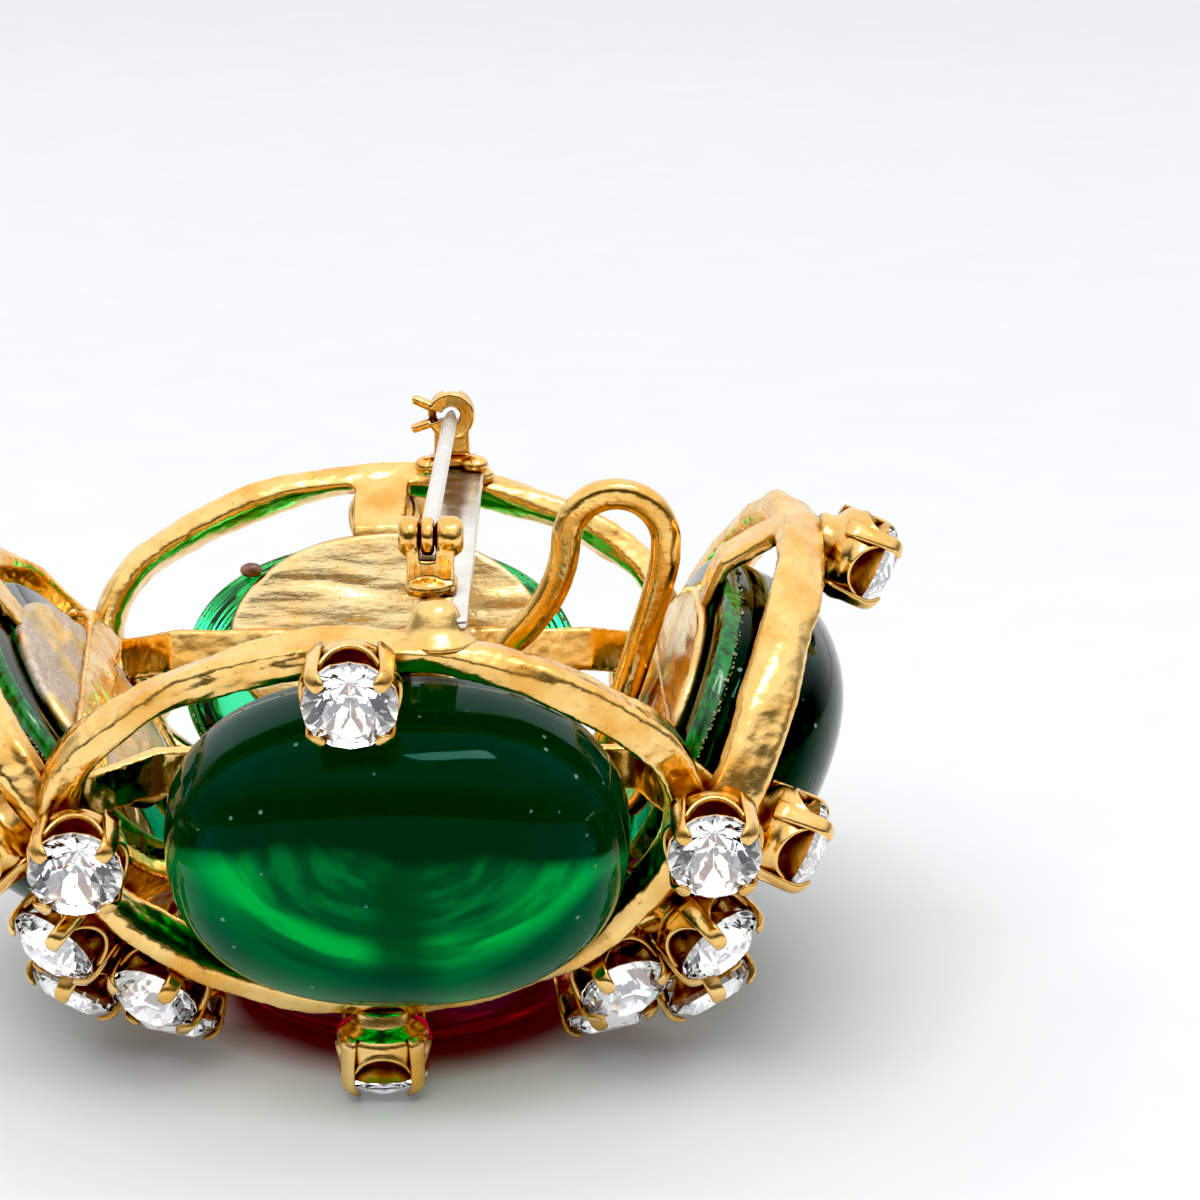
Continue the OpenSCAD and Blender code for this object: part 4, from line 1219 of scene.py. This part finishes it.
# %% Geometry Nodes: crumbs on a seam
def crumb_nodes():
    tree, start = modifier_tree("crumbs", [
        ("Crumb Size", "Float", 0.12), ("Spread", "Float", 0.14), ("Seed", "Int", 4)])

    def drawn(kind, inputs):
        return add(tree, "FunctionNodeRandomValue", {"Seed": start["Seed"], **inputs},
                   data_type=kind).outputs

    crumb = add(tree, "GeometryNodeMeshIcoSphere",
                {"Radius": start["Crumb Size"], "Subdivisions": 1})
    turn = drawn("FLOAT_VECTOR", {1: (6.28, 6.28, 6.28)})[0]
    size = drawn("FLOAT", {2: 0.35, 3: 1.25})[1]
    off = drawn("FLOAT_VECTOR", {0: (-1, -1, -1), 1: (1, 1, 1)})[0]
    points = add(tree, "GeometryNodeInstanceOnPoints",
                 {"Points": pushed(tree, start, off, start["Spread"]),
                  "Instance": crumb.outputs["Mesh"], "Rotation": turn, "Scale": size})
    return dressed(tree, start, points.outputs[0])


crumbs = crumb_nodes()


def seam_points(p, count, height):
    """Points along the seam of a glass, with gaps."""
    pts = []
    for k in range(count):
        t = 2 * pi * (k + 0.4 * noise.noise(Vector((k * 1.7, p.turn, 0)))) / count
        if noise.noise(Vector((2.2 * cos(t), 2.2 * sin(t), p.turn))) < -0.12:
            continue
        o = 0.972 * fullness(t, GLASS_POWER)
        pts.append((p.g_w + p.g_a * o * cos(t), p.g_q + p.g_b * o * sin(t),
                    p.glass + height))
    return [petal_frame(p) @ Vector(q) for q in pts]


for number, (name, p) in enumerate(PETALS.items()):
    obj = placed("crust_" + name, new_mesh("crust_" + name, (seam_points(p, 420, 1.22), [])))
    with_nodes(obj, crumbs, {"Crumb Size": 0.11, "Spread": 0.13, "Seed": 4 + number,
                             "Finish": glue})
    finished(baked(obj), [glue], "antique_gold")

# %% Brown drops by the hook and on the back plate
drops = [((19.9, 1.6, 28.3), 0.78), ((19.5, 1.5, 26.5), 0.66)]
shapes = [blob(SHIFT + Vector(place), (r, r, 0.92 * r)) for place, r in drops]
at_back = petal_frame(PETALS["back"]) @ Vector((10.6, 4.0, -5.3))
shapes.append(blob(at_back, (0.9, 0.6, 0.6)))
finished(solid("flux_drops", shapes), [flux], "antique_gold")

# %% [markdown]
# ## Floor, light and camera
# The brooch lies on a pale table in a bright studio. One wide lamp hangs over the
# table and one stands before it; neither is mirrored in the metal. The room that the
# metal and glass mirror is white behind and above and dark on the camera's side,
# which is what the dark front of the glass shows. A strip gives the glass its small
# gloss. Under the red glass the table has painted wine-red light, as light through
# the glass would make it. The camera looks down by 16.5 degrees through a long lens,
# from a quarter of a metre away. A black level in the view deepens the darkest tones.

# %% Table
TABLE = 3.0                                  # half its side, in metres
RED_LIGHT_MIDDLE = (0.0027, -0.0006, 0.0)          # the spot under the red glass
table = placed("table", new_mesh("table", ([(-TABLE, -TABLE, 0), (TABLE, -TABLE, 0),
                                            (TABLE, TABLE, 0), (-TABLE, TABLE, 0)],
                                           [(0, 1, 2, 3)])))
floor_paint, tree, where = blank("table_paint")
grain = noise_at(tree, where, 90.0, 6.0)
grain_and_red_light = mixed(tree, grain, (0.80, 0.82, 0.83, 1), (0.84, 0.855, 0.86, 1))
from_red_light = vector_node(tree, "DISTANCE", {0: where, 1: RED_LIGHT_MIDDLE})["Value"]
# Painted light: wine red on the table under the red glass.
grain_and_red_light = mixed(tree, remap(tree, from_red_light, 0.0125, 0.0165, 0.8, 0.0), grain_and_red_light, (0.50, 0.20, 0.25, 1))
output(tree, Surface=principled(tree, {"Base Color": grain_and_red_light, "Roughness": 0.6,
                                       "Specular IOR Level": 0.0}))
table.data.materials.append(floor_paint)

# %% Studio surroundings
world = bpy.data.worlds.new("studio")
bpy.context.scene.world = world
world.use_nodes = True
tree = world.node_tree
tree.nodes.clear()
way = add(tree, "ShaderNodeTexCoord").outputs["Generated"]
parts = add(tree, "ShaderNodeSeparateXYZ", {0: way}).outputs
walls = mixed(tree, remap(tree, parts["Y"], -0.55, 0.35), (0.09, 0.09, 0.095, 1),
              (1.05, 1.06, 1.07, 1))
beside = math_node(tree, "ABSOLUTE", parts["X"])
walls = mixed(tree, remap(tree, beside, 0.6, 0.95, 0.0, 0.8), walls, (0.20, 0.20, 0.205, 1))
air = mixed(tree, remap(tree, parts["Z"], 0.30, 0.60), walls, (1.12, 1.12, 1.11, 1))
ray = add(tree, "ShaderNodeLightPath").outputs
air = mixed(tree, ray["Is Diffuse Ray"], air, (0.25, 0.252, 0.255, 1))
air = mixed(tree, ray["Is Camera Ray"], air, (0.935, 0.955, 0.965, 1))
sky = add(tree, "ShaderNodeBackground", {"Color": air, "Strength": 1.0})
add(tree, "ShaderNodeOutputWorld", {"Surface": sky.outputs[0]})


def soft_light(name, place, aim, size, size_y, power, mirrored=False):
    data = bpy.data.lights.new(name, "AREA")
    data.shape = "RECTANGLE"
    data.size, data.size_y, data.energy = size, size_y, power
    obj = placed(name, data)
    obj.location = place
    obj.rotation_euler = (Vector(aim) - Vector(place)).to_track_quat("-Z", "Y").to_euler()
    obj.visible_glossy = mirrored
    return obj


soft_light("over_table", (0, 0.5, 1.3), (0, 0.5, 0), 2.6, 2.6, 20.0)
soft_light("before_table", (-0.2, -0.8, 1.2), (0, 0.05, 0), 1.0, 1.0, 13.4)
strip = soft_light("strip", (0.13, -0.20, 0.54), (0, 0, 0.02), 0.26, 0.09, 0.8, mirrored=True)
strip.visible_diffuse = False
print("lights: one wide over the table, one in front of it, one strip for the gloss")

# %% Camera
lens = bpy.data.cameras.new("camera")
lens.lens, lens.sensor_width, lens.clip_start = 108.155, 36.0, 0.01
camera = placed("camera", lens)
yaw, pitch = radians(1.705), radians(16.505)
ahead = Vector((sin(yaw) * cos(pitch), cos(yaw) * cos(pitch), -sin(pitch)))
camera.location = (SHIFT + Vector((8.535, -252.507, 105.601))) * MM
camera.rotation_euler = ahead.to_track_quat("-Z", "Y").to_euler()
bpy.context.scene.camera = camera
view = bpy.context.scene.view_settings
view.view_transform = "Standard"
view.use_curve_mapping = True
view.curve_mapping.black_level = (0.018, 0.018, 0.018)
view.curve_mapping.update()
print("camera at", [round(v, 4) for v in camera.location])
